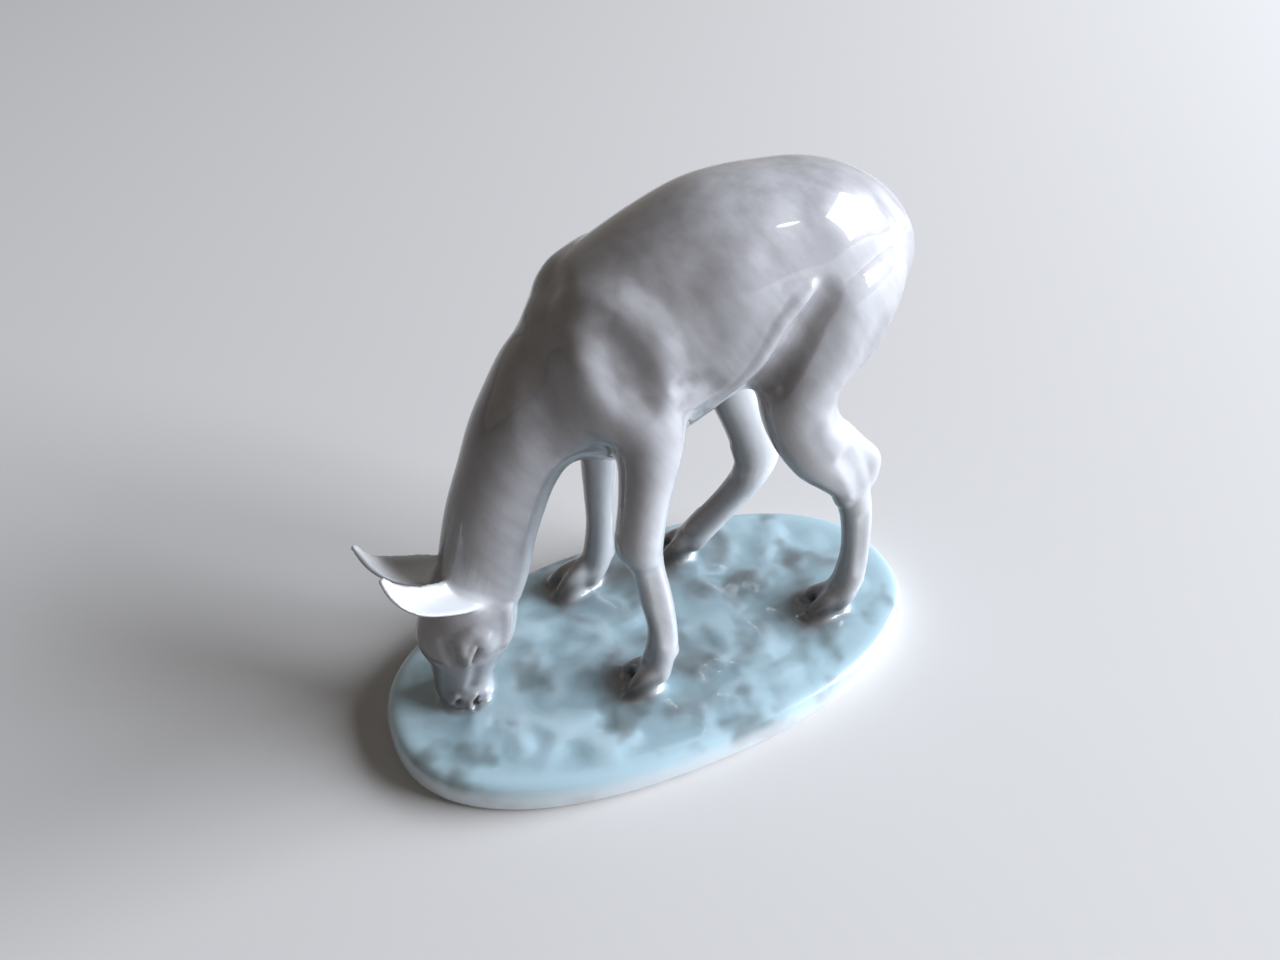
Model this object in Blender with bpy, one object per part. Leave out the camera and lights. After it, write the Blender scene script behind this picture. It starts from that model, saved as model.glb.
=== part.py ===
"""A grazing deer on an oval plinth, slip-cast in one piece of porcelain.

The animal is built up the way a modeller builds a clay original: every mass and
limb is a loft through a few sections, the lofts are fused into one clay, the
joints between them are rubbed soft, and the anatomy is then pressed in or built
up with strokes. The foot underneath is cut flat last, as a kiln shelf needs.

Sizes are in millimetres until the clay becomes a mesh, which is in metres.
The origin is on the table under the middle of the plinth, +Z is up, the plinth
is long in X, and the animal faces -X with its left side towards -Y.
"""

import bpy
import bmesh
import math
import numpy as np

MM = 0.001

# Plinth
PLINTH_LENGTH = 170.0
PLINTH_WIDTH = 88.0
PLINTH_HEIGHT = 11.0
PLINTH_SQUARENESS = 2.3
PLINTH_EDGE_ROUND = 3.5
RELIEF_HEIGHT = 0.55
RELIEF_PITCH = 19.0
RELIEF_HEADINGS = (12, 57, 95, 141, 170)
RELIEF_FROM = 0.78
RELIEF_TO = 0.93

# Underside
FOOT_RIM_WIDTH = 5.0
FOOT_RECESS_DEPTH = 2.0
VENT_DIAMETER = 4.0
VENT_DEPTH = 5.0

# The animal's mid plane runs beside the plinth's long axis
MIDLINE = 6.5
# Its back stands this high above the plinth. The tables are drawn for DRAWN_HEIGHT.
BACK_HEIGHT = 146.0
DRAWN_HEIGHT = 146.0

# Clay
CLAY_GRAIN = 0.75
FACET_COUNT = 10800
RING_SIDES = 28
LOFT_STEPS = 5
DOME_SHARE = 0.6
DOME_TURNS = (25, 50, 72)
OVAL_SIDES = 160
CUTTER_SIDES = 96
# How far the clay block reaches below the finished foot before it is cut flat
SPARE_CLAY = 4.0
RUB_ROUNDS = 60
# How much each round rubs thin legs and the broad body, and where one turns into the other
RUB_THIN = 0.05
RUB_BROAD = 0.55
RUB_FROM = 62.0
RUB_FULL = 88.0

# Every table below lists sections as x, y, z, depth, width. The depth lies in the
# bend of the limb and the width across it. Heights are above the plinth's top.
TRUNK = (
    (-24, 0, 101, 48, 33),
    (-15, 0, 102.5, 58, 39),
    (-5, 0, 106.5, 60.5, 41),
    (7, 0, 113, 59, 43),
    (20, 0, 117.5, 59, 43.5),
    (32, 0, 121, 52, 42),
    (42, 0, 122.5, 44, 40),
    (52, 0, 119.5, 39, 35),
    (60, 0, 114, 33, 28),
    (65.5, 0, 109, 23, 18),
)
NECK = (
    (-13, 0, 109, 40, 32),
    (-23, 0, 100.5, 37, 30),
    (-30, 0, 93, 33, 27),
    (-35.5, 0, 86, 29.5, 24),
    (-40, -0.5, 77.5, 27, 21.5),
    (-44, -0.5, 67, 26.5, 21),
    (-47, -0.5, 57, 26, 20.5),
    (-49.5, -1, 47, 26, 20),
    (-52, -1.5, 39, 25, 19),
)
HEAD = (
    (-52, -1, 46, 22, 19),
    (-54, -1.5, 39, 26, 22),
    (-56, -1.5, 31, 28, 24),
    (-58, -2, 23.5, 27.5, 23),
    (-59.3, -2.5, 16.5, 21, 19),
    (-60.5, -3, 9.5, 17.5, 15.5),
    (-61.2, -3.5, 4, 16.5, 15),
    (-61.6, -3.7, 1, 14, 13),
)
NEAR_FORELEG = (
    (-10, -10, 125, 20, 10),
    (-14, -12, 113, 28, 14),
    (-12, -14.5, 102, 26, 17),
    (-8.5, -17.5, 93, 20, 16.5),
    (-9.4, -20, 86, 17, 14.5),
    (-12, -22.5, 74, 13.8, 12),
    (-13.2, -22.9, 61.5, 12.8, 11.5),
    (-11, -23.1, 50.6, 9.2, 8.4),
    (-8.7, -23.3, 38.4, 9.4, 8.4),
    (-6.7, -23.5, 26, 8.8, 8),
    (-6.5, -23.5, 16, 9.8, 9),
    (-7.6, -23.5, 10.5, 9.6, 9),
    (-9, -23.5, 5, 10.5, 9.5),
)
FAR_FORELEG = (
    (-10, 8, 125, 20, 10),
    (-14, 11, 113, 28, 14),
    (-12, 14, 102, 26, 16),
    (-10, 16, 91, 18, 15),
    (-8.5, 17, 79, 14, 12.5),
    (-7.6, 17.5, 66, 12, 11),
    (-7.6, 18, 54, 11, 10.2),
    (-7.4, 19, 40, 9.6, 9),
    (-7.2, 19.7, 28, 9, 8.6),
    (-7.6, 20.2, 17, 10, 9.5),
    (-9, 20.5, 10.5, 10, 9.6),
    (-12, 20.8, 5, 10.5, 10),
)
NEAR_HIND_LEG = (
    (52, -7, 126, 32, 16),
    (49, -11.5, 117, 35, 20),
    (42, -14.5, 107, 35, 21),
    (36, -16.5, 97, 28, 19),
    (34, -18, 88.5, 23, 16.5),
    (36.5, -19.3, 79.5, 20.5, 14),
    (42, -20.2, 70, 19, 12.5),
    (47.5, -20.7, 63, 16.5, 11.5),
    (52, -20.9, 56, 13, 10.3),
    (55, -21, 49, 10.8, 9.3),
    (57.6, -21.2, 39, 9.6, 8.6),
    (59, -21.5, 26, 9, 8.2),
    (58.6, -21.7, 15, 10, 9.2),
    (57, -21.5, 9, 10.5, 10),
    (55, -21, 4.5, 11, 10),
)
NEAR_HOCK = (
    (46, -20.5, 77, 8, 6),
    (53, -20.7, 68, 8, 6.5),
    (57.5, -20.9, 62, 8.5, 7),
    (57.5, -21, 55, 8, 7),
)
FAR_HIND_LEG = (
    (52, 7, 126, 32, 16),
    (49, 11.5, 117, 35, 20),
    (41, 14.5, 106, 33, 21),
    (35, 17, 94, 27, 18),
    (33, 18.5, 82, 22, 15),
    (36, 18, 69, 18, 12.5),
    (41, 16, 54, 16, 11.5),
    (44, 14.2, 42, 15.5, 10.5),
    (41.5, 14, 33.5, 12.5, 10),
    (36, 15.8, 24, 10.5, 9.2),
    (29.5, 18.3, 14, 10.8, 9.8),
    (24.5, 19.8, 6.5, 11, 10),
)
TAIL = (
    (57.5, -5, 130.5, 8, 9),
    (63, -6, 127, 8.5, 12),
    (66.3, -6.5, 120.5, 8, 12.5),
    (67.6, -6, 112.5, 7, 10),
    (67.3, -5, 105.5, 4, 5),
)

# One toe, from the pastern down and forward: x, y, z, depth, width
TOE = (
    (1.5, 0.8, 10, 7.5, 5),
    (-1.5, 1.4, 7, 9.5, 6),
    (-4.8, 1.8, 4, 10, 6),
    (-7.6, 2, 1.4, 8.2, 5.4),
    (-8.8, 2, -2.5, 8.2, 5.4),
)
# Each foot: x and y of its pastern, its heading in degrees away from -X, its spread
FEET = {
    "near_fore": (-7.6, -23.8, -20, 14),
    "far_fore": (-13.2, 20.8, -8, 10),
    "near_hind": (56.2, -21.4, -26, 14),
    "far_hind": (25.2, 19.6, -26, 14),
}

# Ears: x, y, z, width, cup, wall
NEAR_EAR = (
    (-52, -5, 42.5, 7, 1.0, 5),
    (-58, -8, 45.6, 9.6, 2.0, 4),
    (-64, -10, 49, 10.4, 2.6, 3.2),
    (-70, -11.2, 52.6, 9.0, 2.4, 2.9),
    (-74.5, -10.7, 57, 6, 1.4, 2.5),
    (-77.3, -9.5, 62.6, 2.4, 0.4, 1.9),
)
FAR_EAR = (
    (-53, 3, 41.5, 8, 1.2, 5),
    (-60, 5.2, 43.2, 10.6, 2.2, 4),
    (-66.5, 6.6, 44.8, 11.2, 2.6, 3.2),
    (-72.5, 7, 47.6, 9.8, 2.4, 2.9),
    (-77.3, 6.8, 52.8, 6.4, 1.5, 2.5),
    (-80.7, 5.5, 62, 2.4, 0.4, 1.9),
)
NEAR_EAR_OPENS = (0.25, -0.35, 0.9)
FAR_EAR_OPENS = (0.1, -0.15, 1.0)

# How far from a stroke's written path the tool looks for the clay's surface
TOOL_DEPTH = 6.0

# Strokes: a path of x, y, z, the side it is worked from, its reach and its height.
# A negative height presses in. Those on trunk and head are repeated on the far side.
NEAR = (0, -1, 0)
FAR = (0, 1, 0)
FRONT = (-1, 0, 0)
BODY_STROKES = (
    # the blade's ridge, its hollow and its front edge
    (((-26, -7, 124), (-21, -9.5, 127), (-16, -11.5, 126.5), (-12, -15.9, 123), (-9.5, -18.5, 119),
      (-7.5, -20.7, 113), (-6.5, -21.2, 106)), (0, -1, 0.3), 8, 1.35),
    (((-21, -12, 120), (-20.5, -16, 111), (-20, -17, 102), (-19, -17, 95)), NEAR, 8, -0.8),
    (((-27, -9, 119), (-28.2, -13.2, 110), (-28, -13.5, 100), (-25.5, -12.4, 90)),
     (-0.4, -1, 0), 6, 1.1),
    (((-34, -9, 114), (-34.8, -12, 106), (-34, -12, 97), (-31, -10, 88)), (-0.5, -1, 0), 6.5, -1.3),
    # the skin that hangs from belly to stifle, and the valley behind it
    (((31.6, -20.5, 124.7), (28.4, -20.9, 121.8), (24.7, -21.3, 117), (22, -21, 111.6),
      (19.6, -20.3, 106.9), (15.8, -19, 101.5), (13, -18.1, 97.5)), NEAR, 5, 1.1),
    (((36.5, -20.9, 121), (32, -21.2, 116), (29, -21.3, 110), (26.4, -20.7, 104), (23.5, -18.1, 98)),
     NEAR, 5.5, -1.4),
    # behind the elbow, and the last ribs
    (((5, -19, 103), (2, -21, 100), (-1, -21, 97)), NEAR, 5, -1.1),
    (((12, -20, 131), (15, -22, 121), (13, -22, 109)), NEAR, 11, 0.9),
    # the hip bone and the hollow before it
    (((40, -12, 136), (45, -15, 133)), (0, -0.7, 0.7), 9, 0.7),
    (((30, -14, 134), (33, -17, 128)), (0, -0.8, 0.6), 10, -0.5),
    # the groove beside the tail
    (((56, -8, 136), (60, -10, 130), (63, -11, 122), (65, -10, 113)), (0.7, -0.7, 0.2), 4, -0.8),
)
HIND_STROKES = (
    # the hollow between the heel's tendon and the shin, and the calf above it
    (((47, -24, 71), (51, -24, 64), (54, -24, 57)), NEAR, 4.2, -0.9),
    (((40, 12, 62), (42.5, 18, 52), (44.5, 18, 44)), FAR, 4, -0.6),
    (((40, -24, 84), (44, -24, 76)), NEAR, 6, 0.6),
    (((53, -20, 108), (46, -22, 92), (44, -22, 84)), NEAR, 6, -0.6),
)
# Each leg: the side it shows, its knee or hock, and its fetlock
JOINTS = (
    (-1, (-13, -22.9, 60), (-6.6, -23.5, 15)),
    (1, (-7.6, 17.7, 60), (-8, 20.3, 15)),
    (-1, (55.5, -21, 50), (58.6, -21.6, 14)),
    (1, (43, 14.5, 40), (29.5, 18.3, 14)),
)
HEAD_STROKES = (
    # 0 the closed eye's bulge, 1 the brow, 2 the hollow before them
    (((-61, -12.8, 30.3), (-60.6, -13, 27)), (-0.3, -1, 0), 3.8, 1.3),
    (((-61, -12, 35), (-57.4, -12.8, 36.3), (-54.5, -13, 34)), (-0.2, -1, 0), 3.6, 0.7),
    (((-64.8, -10.5, 33), (-64.4, -11.4, 29), (-63.6, -12, 24.5)), (-0.6, -1, 0), 3.6, -1.2),
    # 3 the slit under the lid, 4 the lid's edge, 5 the tear duct
    (((-59, -13.4, 24.2), (-57.9, -13.5, 27.2), (-56.8, -13.5, 30)), (-0.1, -1, 0), 1.5, -1.1),
    (((-60.3, -13.1, 23.6), (-59.3, -13.4, 26.8), (-57.8, -13.4, 30.6)), (-0.3, -1, 0), 1.2, 0.7),
    (((-63.3, -12.2, 25), (-61.8, -12.7, 23.6), (-60.4, -13, 23.2)), (-0.2, -1, 0), 1.4, -0.8),
    # 6 the cheek, 7 the jaw's edge, 8 the groove above the lip
    (((-55, -13, 30), (-53.5, -13, 27)), (0, -1, 0), 4, 0.7),
    (((-46.4, -10.2, 38), (-46.4, -10, 32), (-48, -10, 26)), (0.5, -1, 0), 3.2, 0.8),
    (((-58.7, -12.6, 19.5), (-59.5, -11.5, 15.2), (-60.4, -10.7, 10.4)), (0, -1, 0), 2.4, -0.7),
    # 9 the nostril, 10 its wing, 11 the mouth, 12 the upper lip, 13 the chin
    (((-64.6, -9.9, 6.8), (-65.4, -9.5, 4.8), (-64.6, -9.8, 3.4)), (-0.5, -1, 0), 1.6, -1.6),
    (((-67.2, -7.9, 4.4), (-66.4, -8.9, 6.7), (-64.4, -9.9, 8.5)), (-0.6, -1, 0), 1.4, 0.6),
    (((-58.2, -10.4, 4.4), (-59.3, -10.4, 3), (-60.4, -10.2, 1.2)), (0.1, -1, 0), 1.4, -1.4),
    (((-62.8, -10.1, 1.8), (-61, -10.8, 4.2), (-58.8, -10.4, 6)), (-0.1, -1, 0), 1.4, 0.6),
    (((-55.3, -9, 2), (-55, -9, 4)), (0.4, -1, 0), 2.4, 0.8),
)


def clear_scene():
    for item in list(bpy.data.objects):
        bpy.data.objects.remove(item, do_unlink=True)


def on_ground(table):
    """Shift a table from the plinth's top and the animal's mid plane to the table top."""
    rows = np.array(table, float)
    rows[:, 1] += MIDLINE
    rows[:, 2] = rows[:, 2] * BACK_HEIGHT / DRAWN_HEIGHT + PLINTH_HEIGHT
    return rows


def through(rows, steps):
    """Points on a Catmull-Rom curve through the rows, all columns together."""
    padded = np.vstack([2 * rows[0] - rows[1], rows, 2 * rows[-1] - rows[-2]])
    t = (np.arange(steps) / steps)[:, None]
    points = []
    for a, b, c, d in zip(padded, padded[1:], padded[2:], padded[3:]):
        points.append(0.5 * (2 * b + (c - a) * t + (2 * a - 5 * b + 4 * c - d) * t ** 2
                             + (3 * b - a - 3 * c + d) * t ** 3))
    return np.vstack(points + [rows[-1:]])


def unit(vectors):
    return vectors / np.linalg.norm(vectors, axis=-1, keepdims=True)


def skin_rings(clay, rings, ends):
    """Bridge a row of rings and close both ends with a fan."""
    verts = [[clay.verts.new(p) for p in ring] for ring in rings]
    sides = len(rings[0])
    for low, high in zip(verts, verts[1:]):
        for i in range(sides):
            j = (i + 1) % sides
            clay.faces.new((low[i], low[j], high[j], high[i]))
    for ring, tip, order in ((verts[0], ends[0], -1), (verts[-1], ends[1], 1)):
        point = clay.verts.new(tip)
        for i in range(sides):
            clay.faces.new((ring[i], ring[(i + 1) % sides], point)[::order])


def limb(clay, table):
    """A loft with elliptical sections and domed ends."""
    rows = through(on_ground(table), LOFT_STEPS)
    centre = rows[:, :3]
    along = unit(np.gradient(centre, axis=0))
    across = unit(np.array([0.0, 1.0, 0.0]) - along * along[:, 1:2])
    bend = np.cross(across, along)
    angle = np.linspace(0, 2 * math.pi, RING_SIDES, endpoint=False)
    rings = []
    for i, (c, t, w, d) in enumerate(zip(centre, along, across, bend)):
        depth, width = rows[i, 3] / 2, rows[i, 4] / 2
        ring = c + np.outer(np.cos(angle), d * depth) + np.outer(np.sin(angle), w * width)
        rings.append((ring, c, t, min(depth, width)))
    start, start_tip = dome(rings[0], -1)
    close, close_tip = dome(rings[-1], 1)
    skin_rings(clay, start[::-1] + [ring for ring, *_ in rings] + close, (start_tip, close_tip))


def dome(end, sign):
    """Rings that close the end of a limb, and the tip they lead to."""
    ring, centre, along, radius = end
    reach = along * radius * DOME_SHARE * sign
    turns = np.radians(DOME_TURNS)
    rings = [centre + (ring - centre) * math.cos(a) + reach * math.sin(a) for a in turns]
    return rings, centre + reach


def foot_point(foot, side, x, y, z):
    """A point of a toe, moved from the foot's own place to the animal's."""
    foot_x, foot_y, heading, spread = foot
    turn = math.radians(heading - side * spread)
    y = y * side
    return (foot_x + x * math.cos(turn) - y * math.sin(turn),
            foot_y + x * math.sin(turn) + y * math.cos(turn), z)


def toes(foot):
    """The two toe tables of one foot."""
    tables = []
    for side in (-1, 1):
        tables.append([foot_point(foot, side, x, y, z) + (depth, width)
                       for x, y, z, depth, width in TOE])
    return tables


def ear(clay, table, opens):
    """A leaf with a cupped inner side and a rim that thins towards the tip."""
    rows = through(on_ground(table), LOFT_STEPS)
    centre = rows[:, :3]
    along = unit(np.gradient(centre, axis=0))
    facing = unit(np.array(opens) - along * (along @ np.array(opens))[:, None])
    across = np.cross(along, facing)
    angle = np.linspace(0, 2 * math.pi, RING_SIDES, endpoint=False)
    u = np.cos(angle)
    rings = []
    for c, w, f, (width, cup, wall) in zip(centre, across, facing, rows[:, 3:]):
        v = cup * (u ** 2 - 0.5) + np.sin(angle) * wall / 2
        rings.append(c + np.outer(u * width / 2, w) + np.outer(v, f))
    tips = (centre[0] - along[0], centre[-1] + along[-1])
    skin_rings(clay, rings, tips)


def oval(length, width, count):
    """A superellipse, a little squarer than an ellipse."""
    angle = np.linspace(0, 2 * math.pi, count, endpoint=False)
    power = 2 / PLINTH_SQUARENESS
    x = np.sign(np.cos(angle)) * abs(np.cos(angle)) ** power * length / 2
    y = np.sign(np.sin(angle)) * abs(np.sin(angle)) ** power * width / 2
    return x, y


def plinth(clay):
    """The oval block, deeper than it ends up, with a rounded upper edge."""
    quarter = np.radians(np.linspace(0, 90, 7))
    levels = [(-SPARE_CLAY, 0.0)]
    levels += [(PLINTH_HEIGHT - PLINTH_EDGE_ROUND * (1 - math.sin(q)), PLINTH_EDGE_ROUND * (1 - math.cos(q)))
               for q in quarter]
    rings = []
    for z, inset in levels:
        x, y = oval(PLINTH_LENGTH - 2 * inset, PLINTH_WIDTH - 2 * inset, OVAL_SIDES)
        rings.append(np.column_stack([x, y, np.full_like(x, z)]))
    skin_rings(clay, rings, ((0, 0, -SPARE_CLAY), (0, 0, PLINTH_HEIGHT)))


def relax(points, edges, amounts, rounds):
    """Pull each point towards the mean of its neighbours, each by its own amount."""
    here = np.concatenate([edges[:, 0], edges[:, 1]])
    there = np.concatenate([edges[:, 1], edges[:, 0]])
    count = np.bincount(here, minlength=len(points))[:, None]
    for _ in range(rounds):
        total = [np.bincount(here, points[there, k], minlength=len(points)) for k in range(3)]
        points = points + amounts[:, None] * (np.stack(total, axis=1) / count - points)
    return points


def ramp(values, low, high):
    """A smooth step from 0 at low to 1 at high."""
    t = np.clip((values - low) / (high - low), 0, 1)
    return t * t * (3 - 2 * t)


def on_surface(points, spot, outward):
    """The outermost point of the clay near spot, on a line along outward."""
    outward = unit(np.array(outward, float))
    offset = points - spot
    along = offset @ outward
    aside = np.linalg.norm(offset - along[:, None] * outward, axis=1)
    near = np.flatnonzero((aside < 1.5 * CLAY_GRAIN) & (abs(along) < TOOL_DEPTH))
    if len(near) == 0:
        near = np.array([np.linalg.norm(offset, axis=1).argmin()])
    return points[near[along[near].argmax()]]


def stroke(points, normals, path, outward, reach, height):
    """Build up, or press in where height is negative, a soft ridge along a path."""
    line = [on_surface(points, spot, outward) for spot in on_ground(path)]
    nearest = np.full(len(points), np.inf)
    for a, b in zip(line, line[1:] if len(line) > 1 else line):
        ab = b - a
        t = np.clip((points - a) @ ab / max(ab @ ab, 1e-9), 0, 1)
        nearest = np.minimum(nearest, np.linalg.norm(points - a - t[:, None] * ab, axis=1))
    fall = np.clip(1 - (nearest / reach) ** 2, 0, 1) ** 2
    facing = ramp(normals @ unit(np.array(outward, float)), -0.3, 0.2)
    return points + normals * (height * fall * facing)[:, None]


def trunk_middle(z):
    return 0.0


def head_middle(z):
    """The head leans a little, so its mid plane shifts with height."""
    heights = [row[2] for row in HEAD]
    return np.interp(z, heights[::-1], [row[1] for row in HEAD][::-1])


def mirrored(path, outward, middle):
    other = tuple((x, 2 * middle(z) - y, z) for x, y, z in path)
    return other, (outward[0], -outward[1], outward[2])


def leg_strokes(side, knee, fetlock):
    """Marks that all four legs share, worked from the side that shows."""
    outward = (0, side, 0)
    (kx, ky, kz), (fx, fy, fz) = knee, fetlock
    return (
        (((kx - 4, ky, kz + 4), (kx - 4, ky, kz - 2)), FRONT, 3.6, 0.5),
        (((kx + 0.6, ky + 4 * side, kz - 8), (fx + 0.6, fy + 4 * side, fz + 7)), outward, 3.2, -0.45),
        (((fx + 4, fy + 1.8, fz - 2),), (1, 0.4, 0), 2.2, 0.8),
        (((fx + 4, fy - 1.8, fz - 2),), (1, -0.4, 0), 2.2, 0.8),
        (((fx - 3, fy, fz - 1),), FRONT, 3, 0.5),
    )


def work(mesh, strokes, middle=None):
    """Draw a list of strokes, on both sides where a mid plane is given."""
    points = read_points(mesh)
    for path, outward, reach, height in strokes:
        normals = read_normals(mesh)
        points = stroke(points, normals, path, outward, reach, height)
        if middle:
            points = stroke(points, normals, *mirrored(path, outward, middle), reach, height)
        write_points(mesh, points)


def knead(points, normals):
    """Soft lumps on the ground, left by the modeller's fingers."""
    x, y, z = points.T
    turn = 2 * math.pi / RELIEF_PITCH
    lumps = np.zeros(len(points))
    for i, heading in enumerate(np.radians(RELIEF_HEADINGS)):
        along = x * math.cos(heading) + y * math.sin(heading)
        across = y * math.cos(heading) - x * math.sin(heading)
        lumps += np.sin(turn * (1 + 0.31 * i) * along + 1.7 * i + 1.1 * np.sin(turn * 0.6 * across + i))
    radius = (abs(2 * x / PLINTH_LENGTH) ** PLINTH_SQUARENESS
              + abs(2 * y / PLINTH_WIDTH) ** PLINTH_SQUARENESS) ** (1 / PLINTH_SQUARENESS)
    top = ramp(normals[:, 2], 0.6, 0.95) * (1 - ramp(z, PLINTH_HEIGHT + 1, PLINTH_HEIGHT + 3))
    share = lumps / math.sqrt(len(RELIEF_HEADINGS))
    height = RELIEF_HEIGHT * share * top * (1 - ramp(radius, RELIEF_FROM, RELIEF_TO))
    return points + np.column_stack([np.zeros_like(x), np.zeros_like(x), height])


def fused(item):
    """The lofts of one object, fused by a voxel remesh, as a new mesh."""
    remesh = item.modifiers.new("fuse", "REMESH")
    remesh.mode = "VOXEL"
    remesh.voxel_size = CLAY_GRAIN * MM
    graph = bpy.context.evaluated_depsgraph_get()
    mesh = bpy.data.meshes.new_from_object(item.evaluated_get(graph))
    item.modifiers.clear()
    item.data = mesh
    return mesh


def read_points(mesh):
    flat = np.empty(len(mesh.vertices) * 3)
    mesh.vertices.foreach_get("co", flat)
    return flat.reshape(-1, 3) / MM


def write_points(mesh, points):
    mesh.vertices.foreach_set("co", (points * MM).ravel())
    mesh.update()


def read_normals(mesh):
    flat = np.empty(len(mesh.vertices) * 3)
    mesh.vertex_normals.foreach_get("vector", flat)
    return flat.reshape(-1, 3)


def sculpt(mesh):
    """Rub the joints soft, then press in and build up the anatomy."""
    points = read_points(mesh)
    flat = np.empty(len(mesh.edges) * 2, dtype=np.int32)
    mesh.edges.foreach_get("vertices", flat)
    broad = ramp(points[:, 2], *on_ground(((0, 0, RUB_FROM), (0, 0, RUB_FULL)))[:, 2])
    amounts = RUB_THIN + (RUB_BROAD - RUB_THIN) * broad
    points = relax(points, flat.reshape(-1, 2), amounts, RUB_ROUNDS)
    write_points(mesh, points)
    write_points(mesh, knead(points, read_normals(mesh)))
    work(mesh, BODY_STROKES, trunk_middle)
    for leg in JOINTS:
        work(mesh, leg_strokes(*leg))
    work(mesh, HIND_STROKES)
    work(mesh, HEAD_STROKES, head_middle)


def underside_cutter():
    """What the modeller takes off below: a flat foot, a shallow recess and a vent."""
    bm = bmesh.new()
    sides = CUTTER_SIDES
    x, y = oval(PLINTH_LENGTH - 2 * FOOT_RIM_WIDTH, PLINTH_WIDTH - 2 * FOOT_RIM_WIDTH, sides)
    angle = np.linspace(0, 2 * math.pi, sides, endpoint=False)
    reach = PLINTH_LENGTH
    below = -PLINTH_HEIGHT
    profile = [
        (reach * np.cos(angle), reach * np.sin(angle), below),
        (reach * np.cos(angle), reach * np.sin(angle), 0.0),
        (x, y, 0.0),
        (x, y, FOOT_RECESS_DEPTH),
        (VENT_DIAMETER / 2 * np.cos(angle), VENT_DIAMETER / 2 * np.sin(angle), FOOT_RECESS_DEPTH),
        (VENT_DIAMETER / 2 * np.cos(angle), VENT_DIAMETER / 2 * np.sin(angle),
         FOOT_RECESS_DEPTH + VENT_DEPTH),
    ]
    rings = [np.column_stack([px, py, np.full(sides, pz)]) for px, py, pz in profile]
    skin_rings(bm, rings, ((0, 0, below), (0, 0, FOOT_RECESS_DEPTH + VENT_DEPTH)))
    cutter = mesh_object("underside_cutter", bm)
    cutter.hide_render = True
    cutter.display_type = "WIRE"
    return cutter


def porcelain():
    material = bpy.data.materials.new("glazed_porcelain")
    material.use_nodes = True
    shader = material.node_tree.nodes["Principled BSDF"]
    shader.inputs["Base Color"].default_value = (0.42, 0.39, 0.38, 1.0)
    shader.inputs["Roughness"].default_value = 0.08
    shader.inputs["Metallic"].default_value = 0.0
    return material


def mesh_object(name, bm):
    bmesh.ops.recalc_face_normals(bm, faces=bm.faces)
    bmesh.ops.scale(bm, vec=(MM, MM, MM), verts=bm.verts)
    mesh = bpy.data.meshes.new(name)
    bm.to_mesh(mesh)
    bm.free()
    item = bpy.data.objects.new(name, mesh)
    bpy.context.collection.objects.link(item)
    return item


def build():
    clear_scene()
    bm = bmesh.new()
    plinth(bm)
    for table in (TRUNK, NECK, HEAD, NEAR_FORELEG, FAR_FORELEG, NEAR_HIND_LEG, NEAR_HOCK,
                  FAR_HIND_LEG, TAIL):
        limb(bm, table)
    for foot in FEET.values():
        for table in toes(foot):
            limb(bm, table)
    ear(bm, NEAR_EAR, NEAR_EAR_OPENS)
    ear(bm, FAR_EAR, FAR_EAR_OPENS)
    item = mesh_object("figurine", bm)
    mesh = fused(item)
    sculpt(mesh)
    item.data.materials.append(porcelain())
    thin = item.modifiers.new("fewer_faces", "DECIMATE")
    thin.ratio = FACET_COUNT / (2 * len(mesh.polygons))
    cut = item.modifiers.new("underside", "BOOLEAN")
    cut.operation = "DIFFERENCE"
    cut.object = underside_cutter()
    item.data.shade_smooth()
    return item


build()
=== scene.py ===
# %% [markdown]
# A grazing deer in glazed porcelain
#
# The real figurine is one hollow casting: liquid clay is poured into a plaster mould, drained,
# taken out, smoothed with a sponge, painted and glazed. So it has no seams and no parts, and
# every form flows into the next. Here it is built the way the clay original was: rough masses
# first, then fused, rubbed soft, modelled with strokes, painted, and dipped in glaze.

# %% Load the fixed frame
import math

import bmesh
import bpy
import numpy as np
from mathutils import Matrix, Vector


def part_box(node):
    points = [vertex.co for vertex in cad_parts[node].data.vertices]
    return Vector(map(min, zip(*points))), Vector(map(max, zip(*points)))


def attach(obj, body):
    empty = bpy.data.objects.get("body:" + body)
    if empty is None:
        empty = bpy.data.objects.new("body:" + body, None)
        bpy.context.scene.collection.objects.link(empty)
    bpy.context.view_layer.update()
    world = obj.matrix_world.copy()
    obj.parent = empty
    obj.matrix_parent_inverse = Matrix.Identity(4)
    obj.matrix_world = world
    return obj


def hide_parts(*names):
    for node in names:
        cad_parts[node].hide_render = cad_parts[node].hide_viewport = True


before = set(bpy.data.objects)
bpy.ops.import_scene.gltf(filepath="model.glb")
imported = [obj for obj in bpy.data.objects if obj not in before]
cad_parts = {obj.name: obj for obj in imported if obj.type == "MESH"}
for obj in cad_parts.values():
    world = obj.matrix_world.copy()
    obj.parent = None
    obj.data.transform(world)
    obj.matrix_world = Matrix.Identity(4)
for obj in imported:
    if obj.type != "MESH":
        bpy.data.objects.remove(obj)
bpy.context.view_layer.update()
scene = bpy.context.scene
MM = 0.001
low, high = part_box("figurine")
print("solid figurine, mm:", [round((b - a) / MM, 1) for a, b in zip(low, high)])

# %% [markdown]
# The camera
#
# The photograph looks down on the animal's left side from close by. A viewpoint can be found by
# trial, or worked out from points whose real places are known. Here it was worked out, so it is
# given as a place in millimetres, a heading and a pitch in degrees, and a lens.

# %% Camera at the photograph's viewpoint
CAMERA_PLACE = (-91.0, -185.8, 263.6)
CAMERA_HEADING = 65.33
CAMERA_PITCH = 42.34
CAMERA_LENS = 29.11
SENSOR_WIDTH = 36.0

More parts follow.
